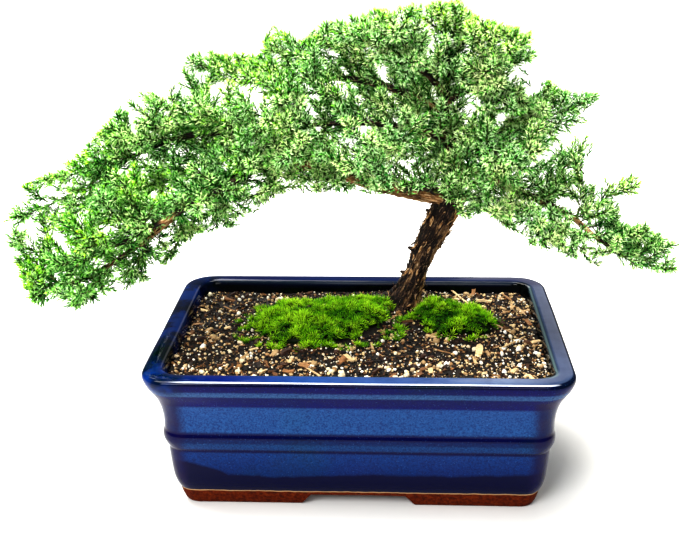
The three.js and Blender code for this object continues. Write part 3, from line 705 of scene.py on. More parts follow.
# A closed tube round a run, with a radius for each angle and length. It carries the grain's own
# coordinates.
def tubeAround(run, sides, radiusAt):
    across = run[0][1].orthogonal().normalized()
    points, grainX, grainY, grainZ, heights = [], [], [], [], []
    for place, ahead, share, length in run:
        across = (across - ahead * across.dot(ahead)).normalized()
        over = ahead.cross(across)
        for side in range(sides):
            angle = side / sides * 2 * math.pi
            out = across * math.cos(angle) + over * math.sin(angle)
            radius, height = radiusAt(share, length, angle)
            points.append(place + out * radius)
            grainX.append(math.cos(angle) * radius / mm)
            grainY.append(math.sin(angle) * radius / mm)
            grainZ.append(length / mm)
            heights.append(height)
    faces = []
    for ring in range(len(run) - 1):
        for side in range(sides):
            a = ring * sides + side
            b = ring * sides + (side + 1) % sides
            faces += [(a, b, b + sides), (a, b + sides, a + sides)]
    for end, (place, _, _, length) in ((0, run[0]), (1, run[-1])):
        start = end * (len(run) - 1) * sides
        points.append(place)
        middle = len(points) - 1
        for values, value in ((grainX, 0), (grainY, 0), (grainZ, length / mm), (heights, 0)):
            values.append(value)
        for side in range(sides):
            a, b = start + side, start + (side + 1) % sides
            faces.append((b, a, middle) if end == 0 else (a, b, middle))
    return {
        "points": np.array(points), "faces": np.array(faces, dtype=np.int32),
        "grainX": np.array(grainX), "grainY": np.array(grainY), "grainZ": np.array(grainZ),
        "height": np.array(heights),
    }


# Bark that splits along the grain: the radius with its furrows, and how high the place stands.
def barkRadius(plain, seed):
    def radiusAt(share, length, angle):
        radius = plain(share)
        around = 3.2 if radius > 4 * mm else 1.8
        where = Vector((math.cos(angle) * around, math.sin(angle) * around, length / mm * 0.11 + seed))
        twist = noise.noise(where * 0.6) * 0.8
        where.x += twist
        ridge = 1 - 2 * abs(noise.noise(where * 1.4))
        plate = noise.noise(Vector((where.x * 2.6, where.y * 2.6, where.z * 5)))
        height = 0.62 * ridge + 0.5 * plate
        knob = 1 + 0.16 * noise.noise(Vector((seed, 3.7, length / mm * 0.11)))
        return radius * knob * (1 + woodShape["furrowDepth"] * (height - 0.3)), height
    return radiusAt


# Juniper bark: fibrous, orange-brown where fresh, weathered grey-brown on the ridges, painted near black in
# the cracks as painted shade.
def barkMaterial():
    material = newMaterial("peelingJuniperBark")
    grain = [attributeOf(material, name)
             for name in ("grainX", "grainY", "grainZ")]
    along = maths(material, "MULTIPLY", grain[2], 0.14)
    grainPlace = addNode(material, "ShaderNodeCombineXYZ", {0: grain[0], 1: grain[1], 2: along}).outputs[0]
    fibre = addNode(material, "ShaderNodeTexNoise", {
        "Vector": grainPlace, "Scale": 1.5, "Detail": 6, "Roughness": 0.7,
    }).outputs["Fac"]
    tone = addNode(material, "ShaderNodeTexNoise", {
        "Vector": grainPlace, "Scale": 0.32, "Detail": 3,
    }).outputs["Fac"]
    height = attributeOf(material, "height")
    dark = rampOf(material, fibre, [
        (0.4, "#050202"), (0.53, "#1a0e08"), (0.61, "#563a28"), (0.68, "#ccb094"),
    ])
    orange = rampOf(material, fibre, [
        (0.32, "#3a2412"), (0.46, "#8a6036"), (0.56, "#cca272"), (0.68, "#f4e0bc"),
    ])
    # how pale the bark is: its own tone, with painted shade darkening the limbs towards their tips
    warm = attributeOf(material, "warm")
    warm = maths(material, "MULTIPLY_ADD", tone, 2.2, warm)
    warm = remap(material, warm, 1.2, 1.8)
    mixed = blend(material, warm, dark, orange)
    # painted shade: the bark darkens to near black down in its furrows
    creviceShade = remap(material, height, -0.5, 0.45, 0.08, 1)
    bark = blend(material, 1.0, mixed, creviceShade, "MULTIPLY")
    bump = addNode(material, "ShaderNodeBump", {"Strength": 0.8, "Distance": 0.0006, "Height": fibre})
    return finished(material, {
        "Base Color": bark, "Roughness": 0.88, "Normal": bump.outputs[0],
    })


# A curled strip of loose bark, one end lifted.
def flakeShape():
    length, width, thick = (size * mm for size in woodShape["flakeSize"])
    deselectAll()
    bpy.ops.mesh.primitive_cube_add(size=1)
    flake = bpy.context.object
    flake.scale = (width, thick, length)
    settle(flake, "flake")
    bpy.ops.object.mode_set(mode="EDIT")
    edit = bmesh.from_edit_mesh(flake.data)
    long = [edge for edge in edit.edges if abs(edge.verts[0].co.z - edge.verts[1].co.z) > 0.5 * length]
    bmesh.ops.subdivide_edges(edit, edges=long, cuts=3)
    bmesh.update_edit_mesh(flake.data)
    bpy.ops.object.mode_set(mode="OBJECT")
    for vertex in flake.data.vertices:
        share = min(1, max(0, vertex.co.z / length + 0.5))
        taper = 1 - 0.75 * (2 * share - 1) ** 2
        vertex.co.x *= taper
        vertex.co.y += 1.3 * mm * share ** 2.5 - 0.35 * mm * (vertex.co.x / width) ** 2
    shape = takeShape(flake)
    count = len(shape["points"])
    shape["grainX"] = shape["points"][:, 0] / mm
    shape["grainY"] = shape["points"][:, 1] / mm
    shape["grainZ"] = shape["points"][:, 2] / mm
    shape["height"] = np.full(count, 0.5)
    return shape


woodRuns = {
    name: smoothRun([fromPot(*point) for point in points], 2 * mm)
    for name, (points, *_) in limbPaths.items()
}


def limbRadius(name, share):
    _, first, last = limbPaths[name]
    if name != "trunk":
        return (first + (last - first) * share ** 0.8) * mm
    away = (share - woodShape["flareAt"]) / woodShape["flareSpread"]
    slimAt, reach, slimmer = woodShape["waist"]
    waist = slimmer * math.exp(-((share - slimAt) / reach) ** 2)
    return (first + (last - first) * share + woodShape["flare"] * math.exp(-away * away) - waist) * mm


def heading(degrees, rise=0):
    turn, lift = math.radians(degrees), math.radians(rise)
    return Vector((math.cos(turn) * math.cos(lift), math.sin(turn) * math.cos(lift), math.sin(lift)))


def buildWood():
    draw = random.Random(5)
    shapes = []
    for seed, (name, (points, first, _)) in enumerate(limbPaths.items()):
        gap = woodShape["ringGap"] * mm * (1 if first > 3 else 1.5)
        run = smoothRun([fromPot(*point) for point in points], gap)
        sides = 40 if name == "trunk" else 16 if first > 4 else 9
        plain = (lambda share, name=name: limbRadius(name, share))
        shapes.append(tubeAround(run, sides, barkRadius(plain, seed * 7.3)))
        # the trunk is pale down its right edge, the two long limbs near their feet and where they are bare;
        # along every limb the bark darkens towards the tip, painted shade that sinks it among the leaves
        middles = np.repeat(np.array([sample[0] for sample in run]), sides, axis=0)
        shares = np.repeat([sample[2] for sample in run], sides)
        if name == "trunk":
            warm = np.clip(((shapes[-1]["points"][:-2] - middles)[:, 0] / (first * mm) - 0.3) * 1.4, 0, 0.9)
        else:
            bare = np.repeat([bareAt(sample[0]) for sample in run], sides)
            warm = (0.8 if name in ("cascade", "rightArm") else 0.3) - shares + 2.2 * bare
        shapes[-1]["warm"] = np.append(warm, (0, 0))
    foot = fromPot(*limbPaths["trunk"][0][2])
    for seed, (degrees, length) in enumerate(woodShape["rootHeadings"]):
        path = []
        for share in (0, 0.35, 0.7, 1):
            sink = Vector((0, 0, 3 - 12 * share ** 2 - 3 * share)) * mm
            path.append(foot + heading(degrees) * length * share * mm + sink)
        plain = tapered(woodShape["rootRadius"])
        shapes.append(tubeAround(smoothRun(path, 1.2 * mm), 18, barkRadius(plain, 90 + seed)))
    trunkRun = woodRuns["trunk"]
    for seed, (share, degrees, rise, length) in enumerate(woodShape["stubs"]):
        start = atShare(trunkRun, share)[0]
        reach = limbRadius("trunk", share) / mm + length
        path = [start + heading(degrees, rise) * reach * part * mm for part in (0, 0.6, 1)]
        plain = tapered(woodShape["stubRadius"])
        shapes.append(tubeAround(smoothRun(path, 1 * mm), 10, barkRadius(plain, 60 + seed)))
    # loose strips, most on the trunk, lying along the grain
    flake = flakeShape()
    matrices, flakeToneAndShade = [], []
    places = [("trunk", 0.66), ("cascade", 0.16), ("rightArm", 0.1), ("leader", 0.08)]
    for _ in range(woodShape["flakes"]):
        name = draw.choices([place[0] for place in places], [place[1] for place in places])[0]
        place, ahead, share, length = draw.choice(woodRuns[name])
        if name == "trunk" and share < woodShape["flareAt"] - 0.05:
            continue
        across = ahead.orthogonal().normalized()
        out = Matrix.Rotation(draw.uniform(0, 2 * math.pi), 3, ahead) @ across
        lean = (ahead * draw.choice((-1, 1)) + out.cross(ahead) * draw.uniform(-0.2, 0.2)).normalized()
        sideways = out.cross(lean).normalized()
        radius = limbRadius(name, share)
        size = draw.uniform(0.6, 1.25) * (1 if name == "trunk" else 0.6)
        turn = Matrix((sideways, out, lean)).transposed() @ Matrix.Diagonal((size, size, size))
        matrix = turn.to_4x4()
        matrix.translation = place + out * radius * draw.uniform(0.94, 1.06)
        matrices.append(matrix)
        # loose strips on the trunk take a random tone; on the limbs they darken along it as painted shade
        flakeToneAndShade.append(draw.choice((-0.4, -0.2, 0.1, 1.1)) if name == "trunk" else 0.7 - share)
    shapes.append(copyShape(flake, matrices, warm=flakeToneAndShade))
    wood = makePiece("trunkAndBranches", joinShapes(shapes), [barkMaterial()], smooth=True)
    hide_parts("trunk_and_branches")
    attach(wood, "root")
    print("wood built,", len(wood.data.polygons), "faces")


# Needles: awl shaped, flat and banded with white above, keeled below, in whorls of three.
needleShape = {
    "length": 4.2,
    "width": 0.86,
    "thickness": 0.4,
    "widestAt": 0.32,
}
shootShape = {
    "whorlGap": 1.3,  # mm
    "lengths": (2.6, 4, 5.2, 6.5, 7.8, 9.1),  # mm of stem, one shoot is modelled for each
    "rootAngle": 54,  # degrees between a needle and the shoot, at the foot and at the tip
    "tipAngle": 24,
    "bend": 0.2,
    "stemRadius": 0.32,
}
sprayShape = {
    "whorlGap": 1.5,  # mm between whorls along a twig
    "needleAngle": 46,
    "twigRadius": (0.85, 0.4),  # of the main stem, at its foot and its tip
    "sideRadius": (0.45, 0.28),
    "shootReach": 1.35,  # a side shoot's length against the needle that marks its place
    "shootGap": 4.4,  # mm between the further shoots along a twig
    "shootLength": (8, 11),
    "extraSides": 7,  # more side shoots on a stem
    "extraSpan": (0.2, 0.72),  # the share of the stem where they begin, and the share that they cover
    "sampleGap": 1.5,
    "sideLength": (11, 16),
    "mergeDistance": 1e-6,
}
# Leafy twigs straight off the limbs: mm between them, their length, and the share of each limb left bare.
limbTwigs = {
    "gap": 5.4,
    "length": (13, 20),
    "bareUpTo": {"cascade": 0.24, "rightArm": 0.16, "leader": 0.12},
    "bareElsewhere": 0.08,
    "shootGap": 1.4,  # mm between the short shoots that hug a limb
    "shootLength": (7, 11),
    # more twigs where the crown is thin: how many, from how many draws each, and their rise in degrees
    "fill": 180,
    "fillDraws": 32,
    "fillRise": (-35, 60),
}
# Where the crown ends as seen in the photo: the corners of its top and of its underside, x and z in mm on
# the upright plane through the pot's middle.
crownTop = [
    (-176, 123), (-167, 141), (-150, 147), (-131, 160), (-104, 189), (-90, 183), (-78, 206), (-46, 203),
    (-39, 218), (-26, 209), (-16, 218), (-2, 222), (16, 226), (45, 227), (54, 219), (77, 213), (83, 194),
    (92, 187), (110, 185), (117, 141), (131, 148), (137, 121), (152, 112),
]
crownUnderside = [
    (-176, 119), (-167, 84), (-141, 81), (-124, 90), (-104, 97), (-84, 119), (-58, 126), (-45, 139),
    (-30, 145), (-8, 141), (12, 146), (36, 146), (52, 129), (60, 134), (82, 117), (115, 106), (152, 101),
]
crownFringe = 2.2  # mm that the tips reach past it
# Gaps right through it: x, z and half their width and height.
crownGaps = [(111, 154, 7, 10), (131, 131, 8, 8), (80, 195, 6, 8), (107, 179, 6, 4), (99, 135, 7, 3)]
# Where the wood shows in front of the leaves, seen the same way: x, z and reach in mm.
bareSpots = [(-99, 119, 4), (-93, 125, 4), (-107, 112, 2.5), (104, 127, 3.6), (111, 121, 3.6)]
bareDepth = 9  # mm behind the pot's middle that leaves are left off there
# Clumps of this year's growth, seen the same way: x, z and how far each reaches, in mm.
freshClumps = [
    (-131, 112, 9), (-165, 94, 7), (-99, 144, 8), (-110, 139, 6), (-135, 147, 5), (-148, 116, 6),
    (-50, 194, 8), (-38, 192, 6), (-64, 190, 6), (-39, 169, 5), (-11, 187, 5), (-68, 172, 6), (-58, 153, 5),
    (43, 225, 8), (32, 224, 6), (56, 220, 6), (72, 213, 6), (-134, 159, 5), (-124, 164, 5), (-164, 141, 5),
    (-33, 215, 8), (-4, 221, 6), (19, 224, 7), (100, 168, 6), (123, 146, 5),
]


def buildNeedle():
    length = needleShape["length"] * mm
    deselectAll()
    bpy.ops.mesh.primitive_cone_add(vertices=3, radius1=0.5, radius2=0, depth=length,
                                    location=(0, 0, length / 2))
    needle = bpy.context.object
    needle.scale = (needleShape["width"] * mm * 1.155, needleShape["thickness"] * mm * 1.333, 1)
    settle(needle, "needle")
    # the two broad corners go up the needle, the third corner is its foot
    bpy.ops.object.mode_set(mode="EDIT")
    edit = bmesh.from_edit_mesh(needle.data)
    for vertex in edit.verts:
        vertex.select_set(vertex.co.z < 0.1 * mm and abs(vertex.co.x) > 0.1 * mm)
    edit.select_flush_mode()
    bmesh.update_edit_mesh(needle.data)
    bpy.ops.transform.translate(value=(0, 0, length * needleShape["widestAt"]))
    bpy.ops.mesh.select_all(action="SELECT")
    bpy.ops.mesh.normals_make_consistent(inside=False)
    bpy.ops.object.mode_set(mode="OBJECT")
    shape = takeShape(needle)
    points, faces = shape["points"], shape["faces"]
    foot = points[np.argmin(points[:, 2])]
    points[:, 1] -= foot[1]
    if points[:, 1].max() < 1e-9:  # the flat face has to be at +y
        points[:, :2] *= -1
    wide = np.abs(points[:, 0]) > 0.1 * mm
    shape["slot"] = np.where(wide[faces].sum(axis=1) == 2, 2, 0).astype(np.int32)
    shape["along"] = points[:, 2] / length
    shape["twig"] = np.zeros(len(points))
    return shape


# The matrix of a needle that leans out from an axis, its flat side towards the axis.
def needleMatrix(centre, ahead, out, angle, radius, size):
    lean = ahead * math.cos(angle) + out * math.sin(angle)
    flat = ahead * math.sin(angle) - out * math.cos(angle)
    side = flat.cross(lean)
    matrix = (Matrix((side, flat, lean)).transposed() * size).to_4x4()
    matrix.translation = centre + out * radius
    return matrix


def buildShoot(needle, length, draw):
    length *= mm
    whorls = round(length / (shootShape["whorlGap"] * mm))
    matrices, young = [], []
    bend = Vector((draw.uniform(-1, 1), draw.uniform(-1, 1), 0)) * shootShape["bend"]
    spin = draw.uniform(0, math.pi)
    axis = Vector((0, 0, 1))

    def centreAt(share):
        return (axis * share + bend * share * share) * length

    for level in range(whorls):
        share = level / whorls
        ahead = (axis + bend * 2 * share).normalized()
        angle = shootShape["rootAngle"] + (shootShape["tipAngle"] - shootShape["rootAngle"]) * share ** 1.5
        for k in range(3):
            turn = spin + level * math.pi / 3 + k * 2 * math.pi / 3 + draw.uniform(-0.2, 0.2)
            across = Vector((math.cos(turn), math.sin(turn), 0))
            out = (across - ahead * across.dot(ahead)).normalized()
            size = (0.95 - 0.25 * share) * draw.uniform(0.88, 1.12)
            lean = math.radians(angle * draw.uniform(0.88, 1.12))
            matrices.append(needleMatrix(centreAt(share), ahead, out, lean, 0.15 * mm, size))
            young.append(share)
    for k in range(4):
        turn = k * math.pi / 2
        out = Vector((math.cos(turn), math.sin(turn), 0))
        matrices.append(needleMatrix(centreAt(0.95), axis, out, 0.3, 0.12 * mm, 0.6))
        young.append(1)
    leaves = copyShape(needle, matrices, young=young, tone=[draw.random() for _ in matrices])
    run = smoothRun([centreAt(share) for share in (0, 0.9)], length)[::2]
    stem = tubeAround(run, 3, lambda share, length, angle: (
        shootShape["stemRadius"] * mm * (1 - 0.7 * share), 0))
    return joinShapes([leaves, plainTwig(stem)])


# A twig drops the bark's own coordinates and takes the second material.
def plainTwig(tube):
    return {
        "points": tube["points"], "faces": tube["faces"],
        "slot": np.ones(len(tube["faces"]), dtype=np.int32),
        "twig": tube["grainZ"],
    }


# Reads a spray of the frame: every needle as (foot, point), and every twig as a row of ring middles that
# ends in its tip. A needle's or tip's point is a vertex with three faces. Rings are triangles of edges with
# no face, and two rings follow each other if each corner of one joins two corners of the other.
def readSpray(node):
    solid = bmesh.new()
    solid.from_mesh(node.data)
    bmesh.ops.remove_doubles(solid, verts=solid.verts, dist=sprayShape["mergeDistance"])
    near = {vertex: {edge.other_vert(vertex) for edge in vertex.link_edges} for vertex in solid.verts}
    faces = {frozenset(face.verts) for face in solid.faces}
    points = {frozenset(near[vertex]): vertex for vertex in solid.verts if len(near[vertex]) == 3}
    loops = set()
    for edge in solid.edges:
        a, b = edge.verts
        for c in near[a] & near[b]:
            loop = frozenset((a, b, c))
            if loop not in faces:
                loops.add(loop)

    def follows(one, other):
        return not one & other and all(len(near[vertex] & other) == 2 for vertex in one)

    byVertex = {}
    for loop in loops:
        for vertex in loop:
            byVertex.setdefault(vertex, set()).add(loop)
    links = {}
    for loop in loops:
        around = {other for vertex in loop for close in near[vertex] for other in byVertex.get(close, ())}
        links[loop] = [other for other in around if follows(loop, other)]

    def middle(loop):
        return sum((vertex.co for vertex in loop), Vector()) / 3

    rows, seen = [], set()
    ends = [loop for loop in loops if len(links[loop]) == 1 and loop in points]
    ends.sort(key=lambda loop: tuple(middle(loop)))
    for end in ends:
        row = [end]
        while True:
            onward = [loop for loop in links[row[-1]] if loop not in row]
            if not onward:
                break
            row.append(onward[0])
        row.reverse()
        seen.update(row)
        rows.append([middle(loop) for loop in row] + [points[end].co.copy()])
    needles = [
        (middle(loop), vertex.co.copy()) for loop, vertex in points.items() if loop not in seen
    ]
    needles.sort(key=lambda pair: tuple(pair[1]))
    solid.free()
    return needles, rows


# The spot on the upright plane through the pot's middle that lies in line with a place, in mm.
def seenAt(place):
    eye = fromPot(*cameraView["place"])
    ray = place - eye
    spot = eye + ray * ((potMiddle.y - eye.y) / ray.y)
    return (spot.x - potMiddle.x) / mm, (spot.z - potMiddle.z) / mm


def crownSpan(x):
    return np.interp(x, *zip(*crownUnderside)), np.interp(x, *zip(*crownTop))


def inCrown(place):
    if not cadLow.y < place.y < cadHigh.y:
        return False
    x, z = seenAt(place)
    low, high = crownSpan(x)
    inGap = any(((x - atX) / wide) ** 2 + ((z - atZ) / tall) ** 2 < 1 for atX, atZ, wide, tall in crownGaps)
    return (crownTop[0][0] < x + crownFringe and x - crownFringe < crownTop[-1][0]
            and low - crownFringe < z < high + crownFringe and not inGap)


# How bare the wood is: 1 in the middle of a bare spot.
def bareAt(place):
    x, z = seenAt(place)
    return sum(math.exp(-((x - atX) ** 2 + (z - atZ) ** 2) / (reach * reach))
               for atX, atZ, reach in bareSpots)


# Whether a leaf would hide the bare wood. Those far enough behind it don't.
def hidesWood(place):
    return place.y < potMiddle.y + bareDepth * mm and bareAt(place) > 0.5


# How much of a shoot's length stays inside the crown.
def trimmed(place, direction, length):
    direction = direction.normalized()
    for part in (1, 0.8, 0.6, 0.4):
        if inCrown(place + direction * length * part):
            return length * part
    return 0


# How fresh the growth is, with painted light mixed in: most in its clumps, and more along the top and to
# the left, where painted light falls, in drifts a centimetre or two across.
def freshAndLitAt(place):
    x, z = seenAt(place)
    clumps = sum(math.exp(-((x - atX) ** 2 + (z - atZ) ** 2) / (2 * reach * reach))
                 for atX, atZ, reach in freshClumps)
    rim = smoothStep(14, 2, crownSpan(x)[1] - z)
    drift = noise.noise(place / (20 * mm)) * 0.4 + noise.noise(place / (8 * mm)) * 0.3
    return min(1, max(0, 0.06 + 0.16 * smoothStep(30, -150, x) + 0.7 * clumps + 0.35 * rim + 0.6 * drift))


# Live needles: waxy, green with white bands on the flat side, yellow-green on new growth, darkened at their
# feet as painted shade.
def needleMaterial(name, oldStops, newStops, pale):
    material = newMaterial(name)
    place = placeOf(material)
    along, young, fresh, tone = [
        attributeOf(material, attribute)
        for attribute in ("along", "young", "fresh", "tone")
    ]
    drift = noiseOf(material, place, 16, 2)
    spread = maths(material, "MULTIPLY_ADD", tone, 0.6, drift)
    old = rampOf(material, spread, oldStops)
    # young growth is paler and yellower; its share also carries painted light on the crown's top and left
    youth = maths(material, "MULTIPLY", young, fresh)
    newGrowth = rampOf(material, youth, newStops)
    share = remap(material, youth, 0.05, 0.5)
    leaf = blend(material, share, old, newGrowth)
    # the foot of a needle is painted greener and darker, painted shade between the needles; its middle
    # carries the bloom
    middle = remap(material, along, 0, 0.4, 0, pale)
    waxy = remap(material, tone, 0.3, 0.7)
    # less of it down the long left limb, where most of the growth is young
    sideways = addNode(material, "ShaderNodeSeparateXYZ", {0: place}).outputs["X"]
    west = remap(material, sideways, -0.14, 0, 0.35, 1)
    waxy = maths(material, "MULTIPLY", waxy, west)
    # and more of it up in the crown, where it also stands for painted light falling from above
    rise = addNode(material, "ShaderNodeSeparateXYZ", {0: place}).outputs["Z"]
    rise = remap(material, rise, 0.14, 0.2, 1, 1.7)
    waxy = maths(material, "MULTIPLY", waxy, rise, use_clamp=True)
    bloom = maths(material, "MULTIPLY", middle, waxy)
    wax = rampOf(material, drift, [
        (0.4, "#caf0b2"), (0.6, "#ecf8b8"),
    ])
    leaf = blend(material, bloom, leaf, wax)
    # painted shade: every needle darkens towards its foot
    foot = rampOf(material, along, [
        (0, "#041a06"), (0.24, "#2c6426"), (0.48, "#ffffff"),
    ])
    leaf = blend(material, 1.0, leaf, foot, "MULTIPLY")
    return finished(material, {
        "Base Color": leaf, "Roughness": 0.5, "IOR": 1.42, "Specular IOR Level": 0.15,
    })


# Young twigs: thin smooth bark, green-brown, ringed by old leaf bases.
def twigMaterial():
    material = newMaterial("youngTwigBark")
    length = attributeOf(material, "twig")
    rings = maths(material, "MULTIPLY", length, 3.6)
    rings = maths(material, "SINE", rings)
    place = placeOf(material)
    patches = noiseOf(material, place, 2.4, 3)
    bark = rampOf(material, patches, [
        (0.35, "#18260a"), (0.5, "#3c4c1e"), (0.66, "#7e8e44"),
    ])
    dark = remap(material, rings, -1, 1, 0.6, 1)
    bark = blend(material, 1.0, bark, dark, "MULTIPLY")
    return finished(material, {"Base Color": bark, "Roughness": 0.75})


# A further side shoot: out from its stem, then bending upwards.
def sideRow(place, ahead, out, length):
    direction = (ahead * 0.66 + out * 0.75).normalized()
    lift = Vector((0, 0, 0.25)) * length
    return [place + direction * length * share + lift * share * share for share in (0, 0.5, 1)]


def spinFrom(ahead, turn):
    return Matrix.Rotation(turn, 3, ahead) @ ahead.orthogonal().normalized()


# One spray: its stem and sides from the frame, more sides between them, and leafy twigs off the limb.
def buildSpray(marks, stemRow, sides, limbRows, limbShoots, needle, shoots, draw):
    placed = {variant: ([], []) for variant in range(len(shoots))}
    shapes = []
    lone, young, fresh = [], [], []

    def addShoot(place, direction, length, freshness):
        length = trimmed(place, direction, length)
        if not length or hidesWood(place) or hidesWood(place + direction.normalized() * length):
            return
        sizes = shootShape["lengths"]
        variant = min(range(len(sizes)), key=lambda i: abs(sizes[i] * mm + 2.2 * mm - length))
        grow = draw.uniform(0.92, 1.08)
        placed[variant][0].append(aim(place, direction, draw.uniform(0, 6.28), (grow, grow, grow)))
        placed[variant][1].append(freshness)

    for foot, point in marks:
        length = (point - foot).length * sprayShape["shootReach"] * draw.uniform(0.95, 1.35)
        addShoot(foot, (point - foot) + Vector((0, 0, 0.12)) * length, length, freshAndLitAt(point))
    for place, direction, length in limbShoots:
        addShoot(place, direction, length, 0.7 * freshAndLitAt(place))
    stemRun = smoothRun(stemRow, sprayShape["sampleGap"] * mm)
    sides = list(sides)
    for i in range(sprayShape["extraSides"]):
        first, over = sprayShape["extraSpan"]
        share = first + over * i / (sprayShape["extraSides"] - 1)
        place, ahead, _, _ = atShare(stemRun, share)
        length = draw.uniform(*sprayShape["sideLength"]) * (1.15 - 0.35 * share) * mm
        out = spinFrom(ahead, i * leafTurn + draw.uniform(-0.4, 0.4))
        sides.append(sideRow(place, ahead, out, length))
    for row in (stemRow, *sides, *limbRows):
        isStem = row is stemRow
        thick, thin = sprayShape["twigRadius"] if isStem else sprayShape["sideRadius"]
        run = smoothRun(row, sprayShape["sampleGap"] * mm)
        outside = [index for index, sample in enumerate(run) if index > 3 and not inCrown(sample[0])]
        if not inCrown(run[3][0]) and not isStem:
            continue
        run = run[:outside[0]] if outside else run
        twig = tubeAround(run[::2] + [run[-1]], 3, lambda share, length, angle: (
            (thick + (thin - thick) * share) * mm, 0))
        shapes.append(plainTwig(twig))
        # a tip shoot carries the twig on
        place, ahead, share, reach = run[-1]
        addShoot(place - ahead * 3 * mm, ahead, 8 * mm, min(1, freshAndLitAt(place) + 0.2))
        for gap, first in ((sprayShape["whorlGap"], 1), (sprayShape["shootGap"], 2.5)):
            level = draw.randrange(9)
            at = (first + (4 if isStem else 0)) * mm
            while at < reach - 2 * mm:
                place, ahead, share, length = atLength(run, at)
                radius = (thick + (thin - thick) * share) * 0.8 * mm
                if hidesWood(place):
                    level += 1
                    at += gap * mm
                    continue
                if gap == sprayShape["shootGap"]:
                    out = spinFrom(ahead, level * leafTurn)
                    direction = ahead * 0.75 + out * 0.66 + Vector((0, 0, 0.15))
                    length = draw.uniform(*sprayShape["shootLength"]) * (1 - 0.3 * share) * mm
                    addShoot(place, direction, length, freshAndLitAt(place) * (0.5 + 0.5 * share))
                else:
                    for k in range(3):
                        turn = level * math.pi / 3 + k * 2 * math.pi / 3 + draw.uniform(-0.25, 0.25)
                        angle = math.radians(sprayShape["needleAngle"]) * draw.uniform(0.8, 1.15)
                        lone.append(needleMatrix(place, ahead, spinFrom(ahead, turn), angle, radius,
                                                 draw.uniform(0.85, 1.1)))
                        young.append(0.6 * share)
                        fresh.append(freshAndLitAt(place))
                level += 1
                at += gap * mm
    shapes.append(copyShape(needle, lone, young=young, fresh=fresh, tone=[draw.random() for _ in lone]))
    for variant, (matrices, freshness) in placed.items():
        if matrices:
            shapes.append(copyShape(shoots[variant], matrices, fresh=freshness))
    return joinShapes(shapes)


# Twigs straight off the limbs, more of them above than below.
def growLimbTwigs(draw):
    twigs = []
    for name, run in woodRuns.items():
        if name == "trunk":
            continue
        bare = limbTwigs["bareUpTo"].get(name, limbTwigs["bareElsewhere"])
        at = bare * run[-1][3]
        turn = draw.uniform(0, 6)
        while at < run[-1][3]:
            place, ahead, share, length = atLength(run, at)
            out = spinFrom(ahead, turn)
            if out.z > -0.35:
                length = draw.uniform(*limbTwigs["length"]) * (1.1 - 0.4 * share) * mm
                twigs.append(sideRow(place, ahead, (out + Vector((0, 0, 0.3))).normalized(), length))
            turn += leafTurn
            at += limbTwigs["gap"] * mm * draw.uniform(0.5, 0.9)
    return twigs


# Leafy twigs for the thin places: of several draws, the one whose middle and tip are seen farthest from the
# leaves so far.
def growFillTwigs(draw, leaves):
    seen = np.array([seenAt(place) for place in leaves])
    names = [name for name in woodRuns if name != "trunk"]
    reaches = [woodRuns[name][-1][3] for name in names]
    twigs = []
    for _ in range(limbTwigs["fill"]):
        best, room = None, 0
        for _ in range(limbTwigs["fillDraws"]):
            name = draw.choices(names, reaches)[0]
            bare = limbTwigs["bareUpTo"].get(name, limbTwigs["bareElsewhere"])
            share = draw.uniform(bare, 1)
            place = atShare(woodRuns[name], share)[0]
            reach = draw.uniform(*limbTwigs["length"]) * mm
            way = heading(draw.uniform(0, 360), draw.uniform(*limbTwigs["fillRise"])) * reach
            twig = [place, place + way * 0.5, place + way]
            if not inCrown(twig[1]) or not inCrown(twig[2]):
                continue
            gap = sum(np.hypot(*(seen - seenAt(spot)).T).min() for spot in twig[1:])
            if gap > room:
                best, room = twig, gap
        if best:
            twigs.append(best)
            seen = np.vstack([seen, [seenAt(spot) for spot in best[1:]]])
    return twigs


# Short shoots that hug a limb and hide most of it.
def growLimbShoots(draw):
    grown = []
    for name, run in woodRuns.items():
        if name == "trunk":
            continue
        bare = limbTwigs["bareUpTo"].get(name, limbTwigs["bareElsewhere"])
        at = bare * run[-1][3]
        turn = draw.uniform(0, 6)
        while at < run[-1][3]:
            place, ahead, share, _ = atLength(run, at)
            out = spinFrom(ahead, turn)
            patch = noise.noise(place / (16 * mm))
            if out.z > -0.5 and patch < 0.32:
                direction = ahead * 0.8 + out * 0.55 + Vector((0, 0, 0.15))
                grown.append((place + out * limbRadius(name, share) * 0.7, direction,
                              draw.uniform(*limbTwigs["shootLength"]) * mm))
            turn += leafTurn
            at += limbTwigs["shootGap"] * mm
    return grown


